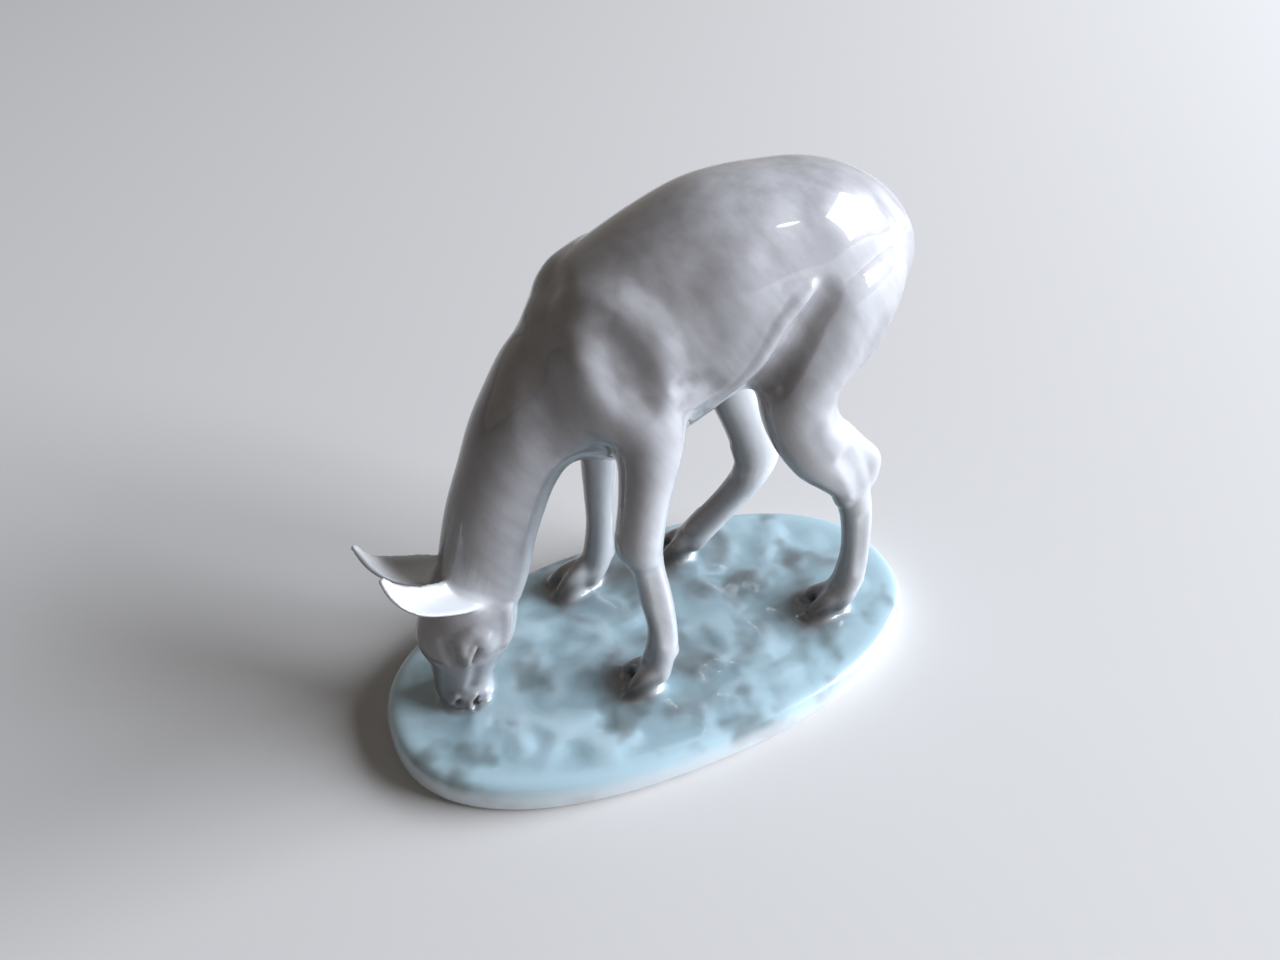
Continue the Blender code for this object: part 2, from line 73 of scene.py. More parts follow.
lens = bpy.data.cameras.new("camera")
lens.sensor_width = SENSOR_WIDTH
lens.lens = CAMERA_LENS
lens.clip_start = 0.01
camera = bpy.data.objects.new("camera", lens)
camera.location = [v * MM for v in CAMERA_PLACE]
camera.rotation_euler = (math.radians(90 - CAMERA_PITCH), 0, math.radians(CAMERA_HEADING - 90))
scene.collection.objects.link(camera)
scene.camera = camera
print("camera is", round(camera.location.length / MM), "mm from the plinth's middle")

# %% [markdown]
# A helper for node trees
#
# Shaders and geometry trees are both made of nodes, and a script gets long if each node takes
# five lines. One function is enough: it adds a node, sets its options, and fills its inputs
# with plain values or with links from other nodes.

# %% Add a node in one line
def add(tree, kind, inputs=None, **settings):
    """One node. An input may be a plain value, a socket, a node, or a list of nodes to join."""
    node = tree.nodes.new(kind)
    for name, value in settings.items():
        setattr(node, name, value)
    for key, given in (inputs or {}).items():
        for value in given if isinstance(given, list) else [given]:
            if isinstance(value, bpy.types.Node):
                value = next(socket for socket in value.outputs if socket.enabled)
            if isinstance(value, bpy.types.NodeSocket):
                tree.links.new(value, node.inputs[key])
            else:
                node.inputs[key].default_value = value
    return node


MATH = "ShaderNodeMath"


# %% [markdown]
# The plinth, as a rule
#
# The plinth is an oval slab, a little squarer than an ellipse, with a rounded upper edge, a
# shallow recess below and a small vent that lets hot air out in the kiln. Such a form follows
# a formula, a superellipse, so a Geometry Nodes tree makes it: a plain cylinder's points are
# moved to the formula's places. Changing one input changes the whole slab.

# %% One slab with a superellipse outline
def slab_tree():
    tree = bpy.data.node_groups.new("oval_slab", "GeometryNodeTree")
    for name in ("Length", "Width", "Bottom", "Top", "Squareness", "Edge Round"):
        tree.interface.new_socket(name, in_out="INPUT", socket_type="NodeSocketFloat")
    tree.interface.new_socket("Slab", in_out="OUTPUT", socket_type="NodeSocketGeometry")
    given = add(tree, "NodeGroupInput").outputs
    blank = add(tree, "GeometryNodeMeshCylinder",
                {"Vertices": 240, "Side Segments": 48, "Radius": 1.0, "Depth": 1.0},
                fill_type="NGON")
    position = add(tree, "GeometryNodeInputPosition")
    x, y, z = add(tree, "ShaderNodeSeparateXYZ", {0: position}).outputs

    # how far up the slab this point is, and how far the rounded edge draws it in there
    share = add(tree, MATH, {0: z, 1: 0.5}, operation="ADD")
    height = add(tree, MATH, {0: given["Top"], 1: given["Bottom"]}, operation="SUBTRACT")
    level = add(tree, MATH, {0: share, 1: height, 2: given["Bottom"]}, operation="MULTIPLY_ADD")
    bend = add(tree, MATH, {0: given["Top"], 1: given["Edge Round"]}, operation="SUBTRACT")
    past = add(tree, MATH, {0: level, 1: bend}, operation="SUBTRACT")
    rise = add(tree, MATH, {0: past, 1: 0.0}, operation="MAXIMUM")
    rise_squared = add(tree, MATH, {0: rise, 1: 2.0}, operation="POWER")
    round_squared = add(tree, MATH, {0: given["Edge Round"], 1: 2.0}, operation="POWER")
    left = add(tree, MATH, {0: round_squared, 1: rise_squared}, operation="SUBTRACT")
    left_over = add(tree, MATH, {0: left, 1: 0.0}, operation="MAXIMUM")
    root = add(tree, MATH, {0: left_over}, operation="SQRT")
    inset = add(tree, MATH, {0: given["Edge Round"], 1: root}, operation="SUBTRACT")

    # the superellipse: each coordinate of the circle is raised to a power below one
    power = add(tree, MATH, {0: 2.0, 1: given["Squareness"]}, operation="DIVIDE")
    sides = []
    for value, size in ((x, given["Length"]), (y, given["Width"])):
        whole_half = add(tree, MATH, {0: size, 1: 0.5}, operation="MULTIPLY")
        half = add(tree, MATH, {0: whole_half, 1: inset}, operation="SUBTRACT")
        plain = add(tree, MATH, {0: value}, operation="ABSOLUTE")
        bent = add(tree, MATH, {0: plain, 1: power}, operation="POWER")
        sign = add(tree, MATH, {0: value}, operation="SIGN")
        signed = add(tree, MATH, {0: sign, 1: bent}, operation="MULTIPLY")
        sides.append(add(tree, MATH, {0: signed, 1: half}, operation="MULTIPLY"))
    place = add(tree, "ShaderNodeCombineXYZ", {0: sides[0], 1: sides[1], 2: level})
    moved = add(tree, "GeometryNodeSetPosition", {"Geometry": blank, "Position": place})
    add(tree, "NodeGroupOutput", {"Slab": moved})
    return tree


# %% [markdown]
# Slip laid on with a brush
#
# The ground around the hooves isn't smooth. The modeller dabbed it with thick slip, which is
# runny clay, and left hundreds of soft lumps. They are scattered copies of one flat pebble,
# each turned and sized a little differently, with a fixed seed so that they stay put.

# %% The whole plinth: slab, recess, vent and dabs
PLINTH_LENGTH = 170.0
PLINTH_WIDTH = 88.0
PLINTH_HEIGHT = 11.0
PLINTH_SQUARENESS = 2.3
PLINTH_EDGE_ROUND = 3.5
FOOT_RIM_WIDTH = 5.0
FOOT_RECESS_DEPTH = 2.0
VENT_DIAMETER = 4.0
VENT_DEPTH = 5.0
DAB_LENGTH = 13.0
DAB_HEIGHT = 1.3
DAB_SPACING = 5.5
DAB_SEED = 4
DABBED_SHARE = 0.82
DAB_SMALLEST = (0.7, 0.4, 0.9)
DAB_LARGEST = (1.3, 0.8, 2.2)
DAB_DENSITY = 60000.0
FLAT_ENOUGH = 0.9


def plinth_tree(slab, glaze):
    tree = bpy.data.node_groups.new("plinth", "GeometryNodeTree")
    names = ("Length", "Width", "Height", "Squareness", "Edge Round", "Rim Width", "Recess Depth",
             "Vent Diameter", "Vent Depth", "Dab Length", "Dab Height", "Dab Spacing", "Dabbed Share")
    for name in names:
        tree.interface.new_socket(name, in_out="INPUT", socket_type="NodeSocketFloat")
    tree.interface.new_socket("Seed", in_out="INPUT", socket_type="NodeSocketInt")
    tree.interface.new_socket("Plinth", in_out="OUTPUT", socket_type="NodeSocketGeometry")
    given = add(tree, "NodeGroupInput").outputs
    oval = {"Length": given["Length"], "Width": given["Width"], "Squareness": given["Squareness"]}
    block = add(tree, "GeometryNodeGroup", node_tree=slab)
    for name, socket in dict(oval, Top=given["Height"], **{"Edge Round": given["Edge Round"]}).items():
        tree.links.new(socket, block.inputs[name])
    recess = add(tree, "GeometryNodeGroup", node_tree=slab)
    rims = add(tree, MATH, {0: given["Rim Width"], 1: 2.0}, operation="MULTIPLY")
    for name in ("Length", "Width"):
        inside = add(tree, MATH, {0: given[name], 1: rims}, operation="SUBTRACT")
        tree.links.new(inside.outputs[0], recess.inputs[name])
    tree.links.new(given["Squareness"], recess.inputs["Squareness"])
    tree.links.new(given["Recess Depth"], recess.inputs["Top"])
    recess.inputs["Bottom"].default_value = -1 * MM
    recess.inputs["Edge Round"].default_value = 0.5 * MM
    vent_end = add(tree, MATH, {0: given["Recess Depth"], 1: given["Vent Depth"]}, operation="ADD")
    vent = add(tree, "GeometryNodeMeshCylinder", {
        "Vertices": 32,
        "Radius": add(tree, MATH, {0: given["Vent Diameter"], 1: 0.5}, operation="MULTIPLY"),
        "Depth": add(tree, MATH, {0: vent_end, 1: 2.0}, operation="MULTIPLY")})
    hollow = add(tree, "GeometryNodeMeshBoolean", {"Mesh 1": block, "Mesh 2": [recess, vent]},
                 operation="DIFFERENCE")
    both = add(tree, "GeometryNodeJoinGeometry", {0: [hollow, scattered_dabs(tree, given, block)]})
    real = add(tree, "GeometryNodeRealizeInstances", {0: both})
    glazed = add(tree, "GeometryNodeSetMaterial", {"Geometry": real, "Material": glaze})
    add(tree, "NodeGroupOutput", {"Plinth": glazed})
    return tree


def scattered_dabs(tree, given, ground):
    """Flat pebbles on the slab's top, away from its rounded edge."""
    facing = add(tree, "ShaderNodeSeparateXYZ", {0: add(tree, "GeometryNodeInputNormal")})
    upward = add(tree, MATH, {0: facing.outputs[2], 1: FLAT_ENOUGH}, operation="GREATER_THAN")
    inner = add(tree, "GeometryNodeTransform",
                {"Geometry": ground, "Scale": (DABBED_SHARE, DABBED_SHARE, 1.0)})
    spots = add(tree, "GeometryNodeDistributePointsOnFaces",
                {"Mesh": inner, "Selection": upward, "Distance Min": given["Dab Spacing"],
                 "Density Max": DAB_DENSITY, "Seed": given["Seed"]}, distribute_method="POISSON")
    pebble = add(tree, "GeometryNodeMeshIcoSphere", {"Radius": 0.5, "Subdivisions": 4})
    turn = add(tree, "FunctionNodeRandomValue", {"Min": (0.0, 0.0, 0.0), "Max": (0.0, 0.0, math.tau),
                                                 "Seed": given["Seed"]}, data_type="FLOAT_VECTOR")
    size = add(tree, "FunctionNodeRandomValue", {"Min": DAB_SMALLEST, "Max": DAB_LARGEST,
                                                 "Seed": given["Seed"]}, data_type="FLOAT_VECTOR")
    form = add(tree, "ShaderNodeCombineXYZ", {0: given["Dab Length"], 1: given["Dab Length"],
                                              2: given["Dab Height"]})
    scale = add(tree, "ShaderNodeVectorMath", {0: size, 1: form}, operation="MULTIPLY")
    return add(tree, "GeometryNodeInstanceOnPoints",
               {"Points": spots, "Instance": pebble, "Rotation": turn, "Scale": scale})


def made_by(tree, settings):
    """The mesh that a geometry tree makes with these inputs."""
    item = bpy.data.objects.new("maker", bpy.data.meshes.new("maker"))
    scene.collection.objects.link(item)
    maker = item.modifiers.new("tree", "NODES")
    maker.node_group = tree
    for socket in tree.interface.items_tree:
        if socket.in_out == "INPUT":
            maker[socket.identifier] = settings[socket.name]
    graph = bpy.context.evaluated_depsgraph_get()
    mesh = bpy.data.meshes.new_from_object(item.evaluated_get(graph))
    bpy.data.objects.remove(item)
    return mesh


porcelain = bpy.data.materials.new("glazed_porcelain")
plinth_mesh = made_by(plinth_tree(slab_tree(), porcelain), {
    "Length": PLINTH_LENGTH * MM, "Width": PLINTH_WIDTH * MM, "Height": PLINTH_HEIGHT * MM,
    "Squareness": PLINTH_SQUARENESS, "Edge Round": PLINTH_EDGE_ROUND * MM,
    "Rim Width": FOOT_RIM_WIDTH * MM, "Recess Depth": FOOT_RECESS_DEPTH * MM,
    "Vent Diameter": VENT_DIAMETER * MM, "Vent Depth": VENT_DEPTH * MM,
    "Dab Length": DAB_LENGTH * MM, "Dab Height": DAB_HEIGHT * MM, "Dab Spacing": DAB_SPACING * MM,
    "Dabbed Share": DABBED_SHARE, "Seed": DAB_SEED})
print("plinth blank with its dabs:", len(plinth_mesh.polygons), "faces")

# %% [markdown]
# The animal as lofts
#
# A modeller starts with rolls of clay on a wire. A loft is the same idea: a row of oval
# sections with a skin pulled over them. The sections are written as x, y, z, depth and width,
# in millimetres, measured from the animal's mid plane and the plinth's top. A smooth curve
# through the rows gives many more sections than were written.

# %% Curves and rings
MIDLINE = 6.5
RING_SIDES = 32
LOFT_STEPS = 6
DOME_SHARE = 0.6
DOME_TURNS = np.radians((25, 50, 72))


def on_ground(table):
    """Moves a table from the plinth's top and the mid plane to the frame's origin."""
    rows = np.array(table, float)
    rows[:, 1] += MIDLINE
    rows[:, 2] += PLINTH_HEIGHT
    return rows


def through(rows, steps):
    """Points on a smooth curve through the rows, all columns together."""
    padded = np.vstack([2 * rows[0] - rows[1], rows, 2 * rows[-1] - rows[-2]])
    t = (np.arange(steps) / steps)[:, None]
    points = []
    for a, b, c, d in zip(padded, padded[1:], padded[2:], padded[3:]):
        points.append(0.5 * (2 * b + (c - a) * t + (2 * a - 5 * b + 4 * c - d) * t ** 2
                             + (3 * b - a - 3 * c + d) * t ** 3))
    return np.vstack(points + [rows[-1:]])


def unit(vectors):
    return vectors / np.linalg.norm(vectors, axis=-1, keepdims=True)


def skin_rings(clay, rings, ends):
    """Pulls a skin over a row of rings and closes both ends with a fan."""
    verts = [[clay.verts.new(p) for p in ring] for ring in rings]
    sides = len(rings[0])
    for near, far in zip(verts, verts[1:]):
        for i in range(sides):
            j = (i + 1) % sides
            clay.faces.new((near[i], near[j], far[j], far[i]))
    for ring, tip, order in ((verts[0], ends[0], -1), (verts[-1], ends[1], 1)):
        point = clay.verts.new(tip)
        for i in range(sides):
            clay.faces.new((ring[i], ring[(i + 1) % sides], point)[::order])


def limb(clay, table):
    """A loft with oval sections and domed ends."""
    rows = through(on_ground(table), LOFT_STEPS)
    centre = rows[:, :3]
    along = unit(np.gradient(centre, axis=0))
    across = unit(np.array([0.0, 1.0, 0.0]) - along * along[:, 1:2])
    bend = np.cross(across, along)
    angle = np.linspace(0, math.tau, RING_SIDES, endpoint=False)
    rings = []
    for i, (c, w, d) in enumerate(zip(centre, across, bend)):
        depth, width = rows[i, 3:5] / 2
        rings.append(c + np.outer(np.cos(angle), d * depth) + np.outer(np.sin(angle), w * width))
    start, start_tip = dome(rings[0], centre[0], -along[0], rows[0, 3:5].min() / 2)
    close, close_tip = dome(rings[-1], centre[-1], along[-1], rows[-1, 3:5].min() / 2)
    skin_rings(clay, start[::-1] + rings + close, (start_tip, close_tip))


def dome(ring, centre, outward, radius):
    """Rings that close the end of a limb, and the tip they lead to."""
    reach = outward * radius * DOME_SHARE
    rings = [centre + (ring - centre) * math.cos(a) + reach * math.sin(a) for a in DOME_TURNS]
    return rings, centre + reach


print("each written section becomes", LOFT_STEPS, "rings of", RING_SIDES, "points")

# %% Trunk, neck and head
TRUNK = (
    (-24, 0, 101, 48, 33),
    (-15, 0, 102.5, 58, 39),
    (-5, 0, 106.5, 60.5, 41),
    (7, 0, 113, 59, 43),
    (20, 0, 117.5, 59, 43.5),
    (32, 0, 121, 52, 42),
    (42, 0, 122.5, 44, 40),
    (52, 0, 119.5, 39, 35),
    (60, 0, 114, 33, 28),
    (65.5, 0, 109, 23, 18),
)
NECK = (
    (-13, 0, 109, 40, 32),
    (-23, 0, 100.5, 37, 30),
    (-30, 0, 93, 33, 27),
    (-35.5, 0, 86, 29.5, 24),
    (-40, -0.5, 77.5, 27, 21.5),
    (-44, -0.5, 67, 26.5, 21),
    (-47, -0.5, 57, 26, 20.5),
    (-49.5, -1, 47, 26, 20),
    (-52, -1.5, 39, 25, 19),
)
HEAD = (
    (-52, -1, 46, 22, 19),
    (-54, -1.5, 39, 26, 22),
    (-56, -1.5, 31, 28, 24),
    (-58, -2, 23.5, 27.5, 23),
    (-59.3, -2.5, 16.5, 21, 19),
    (-60.5, -3, 9.5, 17.5, 15.5),
    (-61.2, -3.5, 4, 16.5, 15),
    (-61.6, -3.7, 1, 14, 13),
)
print("sections of trunk, neck and head:", len(TRUNK), len(NECK), len(HEAD))

# %% [markdown]
# The legs
#
# A deer walks on its toes, so the joint halfway up the hind leg is its heel, and the one in
# the foreleg its wrist. The near hind leg gets a second small loft for the bony point of the
# heel, where the tendon stands clear of the shin.

# %% Legs and tail
NEAR_FORELEG = (
    (-10, -10, 125, 20, 10),
    (-14, -12, 113, 28, 14),
    (-12, -14.5, 102, 26, 17),
    (-8.5, -17.5, 93, 20, 16.5),
    (-9.4, -20, 86, 17, 14.5),
    (-12, -22.5, 74, 13.8, 12),
    (-13.2, -22.9, 61.5, 12.8, 11.5),
    (-11, -23.1, 50.6, 9.2, 8.4),
    (-8.7, -23.3, 38.4, 9.4, 8.4),
    (-6.7, -23.5, 26, 8.8, 8),
    (-6.5, -23.5, 16, 9.8, 9),
    (-7.6, -23.5, 10.5, 9.6, 9),
    (-9, -23.5, 5, 10.5, 9.5),
)
FAR_FORELEG = (
    (-10, 8, 125, 20, 10),
    (-14, 11, 113, 28, 14),
    (-12, 14, 102, 26, 16),
    (-10, 16, 91, 18, 15),
    (-8.5, 17, 79, 14, 12.5),
    (-7.6, 17.5, 66, 12, 11),
    (-7.6, 18, 54, 11, 10.2),
    (-7.4, 19, 40, 9.6, 9),
    (-7.2, 19.7, 28, 9, 8.6),
    (-7.6, 20.2, 17, 10, 9.5),
    (-9, 20.5, 10.5, 10, 9.6),
    (-12, 20.8, 5, 10.5, 10),
)
NEAR_HIND_LEG = (
    (52, -7, 126, 32, 16),
    (49, -11.5, 117, 35, 20),
    (42, -14.5, 107, 35, 21),
    (36, -16.5, 97, 28, 19),
    (34, -18, 88.5, 23, 16.5),
    (36.5, -19.3, 79.5, 20.5, 14),
    (42, -20.2, 70, 19, 12.5),
    (47.5, -20.7, 63, 16.5, 11.5),
    (52, -20.9, 56, 13, 10.3),
    (55, -21, 49, 10.8, 9.3),
    (57.6, -21.2, 39, 9.6, 8.6),
    (59, -21.5, 26, 9, 8.2),
    (58.6, -21.7, 15, 10, 9.2),
    (57, -21.5, 9, 10.5, 10),
    (55, -21, 4.5, 11, 10),
)
NEAR_HOCK = (
    (46, -20.5, 77, 8, 6),
    (53, -20.7, 68, 8, 6.5),
    (57.5, -20.9, 62, 8.5, 7),
    (57.5, -21, 55, 8, 7),
)
FAR_HIND_LEG = (
    (52, 7, 126, 32, 16),
    (49, 11.5, 117, 35, 20),
    (41, 14.5, 106, 33, 21),
    (35, 17, 94, 27, 18),
    (33, 18.5, 82, 22, 15),
    (36, 18, 69, 18, 12.5),
    (41, 16, 54, 16, 11.5),
    (44, 14.2, 42, 15.5, 10.5),
    (41.5, 14, 33.5, 12.5, 10),
    (36, 15.8, 24, 10.5, 9.2),
    (29.5, 18.3, 14, 10.8, 9.8),
    (24.5, 19.8, 6.5, 11, 10),
)
TAIL = (
    (57.5, -5, 130.5, 8, 9),
    (63, -6, 127, 8.5, 12),
    (66.3, -6.5, 120.5, 8, 12.5),
    (67.6, -6, 112.5, 7, 10),
    (67.3, -5, 105.5, 4, 5),
)
print("sections of a foreleg and of a hind leg:", len(NEAR_FORELEG), len(NEAR_HIND_LEG))

# %% [markdown]
# The hooves
#
# Each foot ends in two toes that spread on soft ground. One toe is a short loft, and a small
# function places a pair of them under each pastern, turned to the way the foot points.

# %% Two toes for each foot
TOE = (
    (1.5, 0.8, 10, 7.5, 5),
    (-1.5, 1.4, 7, 9.5, 6),
    (-4.8, 1.8, 4, 10, 6),
    (-7.6, 2, 1.4, 8.2, 5.4),
    (-8.8, 2, -2.5, 8.2, 5.4),
)
# Each foot: x and y of its pastern, its heading in degrees away from -X, its spread
FEET = {
    "near_fore": (-7.6, -23.8, -20, 14),
    "far_fore": (-13.2, 20.8, -8, 10),
    "near_hind": (56.2, -21.4, -26, 14),
    "far_hind": (25.2, 19.6, -26, 14),
}


def foot_point(foot, side, x, y, z):
    """A point of a toe, moved from the foot's own place to the animal's."""
    foot_x, foot_y, heading, spread = foot
    turn = math.radians(heading - side * spread)
    y = y * side
    return (foot_x + x * math.cos(turn) - y * math.sin(turn),
            foot_y + x * math.sin(turn) + y * math.cos(turn), z)


def toes(foot):
    """The two toe tables of one foot."""
    tables = []
    for side in (-1, 1):
        tables.append([foot_point(foot, side, x, y, z) + (depth, width)
                       for x, y, z, depth, width in TOE])
    return tables


print("feet with two toes each:", ", ".join(FEET))

# %% [markdown]
# The ears
#
# An ear is a leaf of clay curled along its length. Its section is an oval whose two halves are
# bent to one side, which gives a hollow inner face, a round back and a thick soft rim. A row is
# x, y, z, width, how deep the leaf is cupped, and how thick its wall is.

# %% Cupped leaves
NEAR_EAR = (
    (-51, -5.5, 42.5, 9, 1.4, 5),
    (-57.5, -8, 45.4, 10.4, 2.2, 4),
    (-64, -10, 49, 10.4, 2.6, 3.2),
    (-70, -11.2, 52.6, 9.0, 2.4, 2.9),
    (-74.5, -10.7, 57, 6, 1.4, 2.5),
    (-77.3, -9.5, 62.6, 2.4, 0.4, 1.9),
)
FAR_EAR = (
    (-53, 3, 41.5, 8, 1.2, 5),
    (-60, 5.2, 43.2, 10.6, 2.2, 4),
    (-66.5, 6.6, 44.8, 11.2, 2.6, 3.2),
    (-72.5, 7, 47.6, 9.8, 2.4, 2.9),
    (-77.3, 6.8, 52.8, 6.4, 1.5, 2.5),
    (-80.7, 5.5, 62, 2.4, 0.4, 1.9),
)
NEAR_EAR_OPENS = (0.25, -0.35, 0.9)
FAR_EAR_OPENS = (0.1, -0.15, 1.0)


def ear(clay, table, opens):
    rows = through(on_ground(table), LOFT_STEPS)
    centre = rows[:, :3]
    along = unit(np.gradient(centre, axis=0))
    facing = unit(np.array(opens) - along * (along @ np.array(opens))[:, None])
    across = np.cross(along, facing)
    angle = np.linspace(0, math.tau, RING_SIDES, endpoint=False)
    u = np.cos(angle)
    rings = []
    for c, w, f, (width, cup, wall) in zip(centre, across, facing, rows[:, 3:]):
        v = cup * (u ** 2 - 0.5) + np.sin(angle) * wall / 2
        rings.append(c + np.outer(u * width / 2, w) + np.outer(v, f))
    skin_rings(clay, rings, (centre[0] - along[0], centre[-1] + along[-1]))


print("the near ear is", round(math.dist(NEAR_EAR[0][:3], NEAR_EAR[-1][:3])), "mm from root to tip")

# %% [markdown]
# All the clay on the board
#
# A casting is one body, so every roll goes into one mesh, with the plinth. Separate objects
# would be easier to change, but their joints would show.

# %% Put all the clay in one object
LIMBS = {
    "trunk": TRUNK, "neck": NECK, "head": HEAD, "near_foreleg": NEAR_FORELEG,
    "far_foreleg": FAR_FORELEG, "near_hind_leg": NEAR_HIND_LEG, "near_hock": NEAR_HOCK,
    "far_hind_leg": FAR_HIND_LEG, "tail": TAIL,
}
clay = bmesh.new()
for table in LIMBS.values():
    limb(clay, table)
for foot in FEET.values():
    for table in toes(foot):
        limb(clay, table)
ear(clay, NEAR_EAR, NEAR_EAR_OPENS)
ear(clay, FAR_EAR, FAR_EAR_OPENS)
bmesh.ops.recalc_face_normals(clay, faces=clay.faces)
bmesh.ops.scale(clay, vec=(MM, MM, MM), verts=clay.verts)
clay.from_mesh(plinth_mesh)
body_mesh = bpy.data.meshes.new("figurine_glazed")
clay.to_mesh(body_mesh)
clay.free()
figurine = bpy.data.objects.new("figurine_glazed", body_mesh)
scene.collection.objects.link(figurine)
print("separate rolls of clay:", len(LIMBS) + 2 * len(FEET) + 2, "and the plinth")

# %% [markdown]
# Fusing and rubbing
#
# The lofts still cut through each other. A voxel remesh wraps one even skin round them all,
# as a thumb closes the joints. It leaves hard creases, so the skin is then relaxed: each point
# moves towards the middle of its neighbours, a lot on the broad body and little on thin legs.

# %% One skin, then soft joints
CLAY_GRAIN = 0.6
RUB_ROUNDS = 90
RUB_THIN = 0.05
RUB_BROAD = 0.5
RUB_FROM = 62.0
RUB_FULL = 88.0
RUB_GROUND = 0.3
RUB_GROUND_BAND = (1.5, 4.0)


def fused(item, grain):
    remesh = item.modifiers.new("fuse", "REMESH")
    remesh.mode = "VOXEL"
    remesh.voxel_size = grain * MM
    graph = bpy.context.evaluated_depsgraph_get()
    mesh = bpy.data.meshes.new_from_object(item.evaluated_get(graph))
    item.modifiers.clear()
    item.data = mesh
    return mesh


def read_points(mesh):
    flat = np.empty(len(mesh.vertices) * 3)
    mesh.vertices.foreach_get("co", flat)
    return flat.reshape(-1, 3) / MM


def write_points(mesh, points):
    mesh.vertices.foreach_set("co", (points * MM).ravel())
    mesh.update()


def read_normals(mesh):
    flat = np.empty(len(mesh.vertices) * 3)
    mesh.vertex_normals.foreach_get("vector", flat)
    return flat.reshape(-1, 3)


def read_edges(mesh):
    flat = np.empty(len(mesh.edges) * 2, dtype=np.int32)
    mesh.edges.foreach_get("vertices", flat)
    return flat.reshape(-1, 2)


def relax(values, edges, amounts, rounds):
    """Pulls each point, or painted value, towards the mean of its neighbours."""
    here = np.concatenate([edges[:, 0], edges[:, 1]])
    there = np.concatenate([edges[:, 1], edges[:, 0]])
    columns = values.reshape(len(values), -1)
    count = np.bincount(here, minlength=len(values))[:, None]
    for _ in range(rounds):
        total = [np.bincount(here, columns[there, k], minlength=len(values))
                 for k in range(columns.shape[1])]
        columns = columns + amounts * (np.stack(total, axis=1) / count - columns)
    return columns.reshape(values.shape)


def ramp(values, start, end):
    """A smooth step from 0 at start to 1 at end."""
    t = np.clip((values - start) / (end - start), 0, 1)
    return t * t * (3 - 2 * t)


mesh = fused(figurine, CLAY_GRAIN)
points = read_points(mesh)
edges = read_edges(mesh)
above = points[:, 2] - PLINTH_HEIGHT
broad = ramp(above, RUB_FROM, RUB_FULL)
ground = 1 - ramp(above, *RUB_GROUND_BAND)
amounts = RUB_THIN + (RUB_BROAD - RUB_THIN) * broad + (RUB_GROUND - RUB_THIN) * ground
points = relax(points, edges, amounts[:, None], RUB_ROUNDS)
write_points(mesh, points)
print("one skin of", len(mesh.polygons), "faces")

# %% [markdown]
# Modelling with strokes
#
# Anatomy is worked into the soft clay with a finger or a loop tool. A stroke here is a short
# path near the surface, the side it is worked from, how wide it reaches and how high it builds
# up, or presses in where the height is negative. The tool stays off the ground around it.
# Strokes on the trunk are repeated on the far side, and those on the head are mirrored in the
# head's own mid plane, which leans a little.

# %% The stroke tool
NEAR = (0, -1, 0)
FRONT = (-1, 0, 0)
TOOL_DEPTH = 3.5
TOOL_FACING = (-0.3, 0.2)
GROUND_CLEARANCE = 1.4


def on_surface(points, spot, outward):
    """The outermost point of the clay on a line through spot."""
    offset = points - spot
    along = offset @ outward
    aside = np.linalg.norm(offset - along[:, None] * outward, axis=1)
    clear = points[:, 2] > PLINTH_HEIGHT + GROUND_CLEARANCE
    near = np.flatnonzero((aside < 2 * CLAY_GRAIN) & (abs(along) < TOOL_DEPTH) & clear)
    if len(near) == 0:
        near = np.array([np.linalg.norm(offset, axis=1).argmin()])
    return points[near[along[near].argmax()]]


def distance_to(points, line):
    """How far each point is from a bent line."""
    nearest = np.full(len(points), np.inf)
    for a, b in zip(line, line[1:] if len(line) > 1 else line):
        ab = b - a
        t = np.clip((points - a) @ ab / max(ab @ ab, 1e-9), 0, 1)
        nearest = np.minimum(nearest, np.linalg.norm(points - a - t[:, None] * ab, axis=1))
    return nearest


def touch(points, normals, path, outward, reach):
    """How strongly a tool drawn along the path touches each point, from 0 to 1."""
    outward = unit(np.array(outward, float))
    line = [on_surface(points, spot, outward) for spot in on_ground(path)]
    fall = np.clip(1 - (distance_to(points, line) / reach) ** 2, 0, 1) ** 2
    lifted = ramp(points[:, 2] - PLINTH_HEIGHT, 0.5 * GROUND_CLEARANCE, 1.5 * GROUND_CLEARANCE)
    return fall * lifted * ramp(normals @ outward, *TOOL_FACING)


def head_middle(z):
    heights = [row[2] for row in HEAD]
    return np.interp(z, heights[::-1], [row[1] for row in HEAD][::-1])


def mirrored(path, outward, middle=lambda z: 0.0):
    other = tuple((x, 2 * middle(z) - y, z) for x, y, z in path)
    return other, (outward[0], -outward[1], outward[2])


def work(mesh, strokes, middle=None):
    """Draws a list of strokes, on both sides where a middle is given."""
    points = read_points(mesh)
    for path, outward, reach, height in strokes:
        sides = [(path, outward)]
        if middle:
            sides.append(mirrored(path, outward, middle))
        normals = read_normals(mesh)
        for side_path, side_outward in sides:
            amount = touch(points, normals, side_path, side_outward, reach)
            points = points + normals * (height * amount)[:, None]
        write_points(mesh, points)


print("the tool works up to", TOOL_DEPTH, "mm in or out of its path")

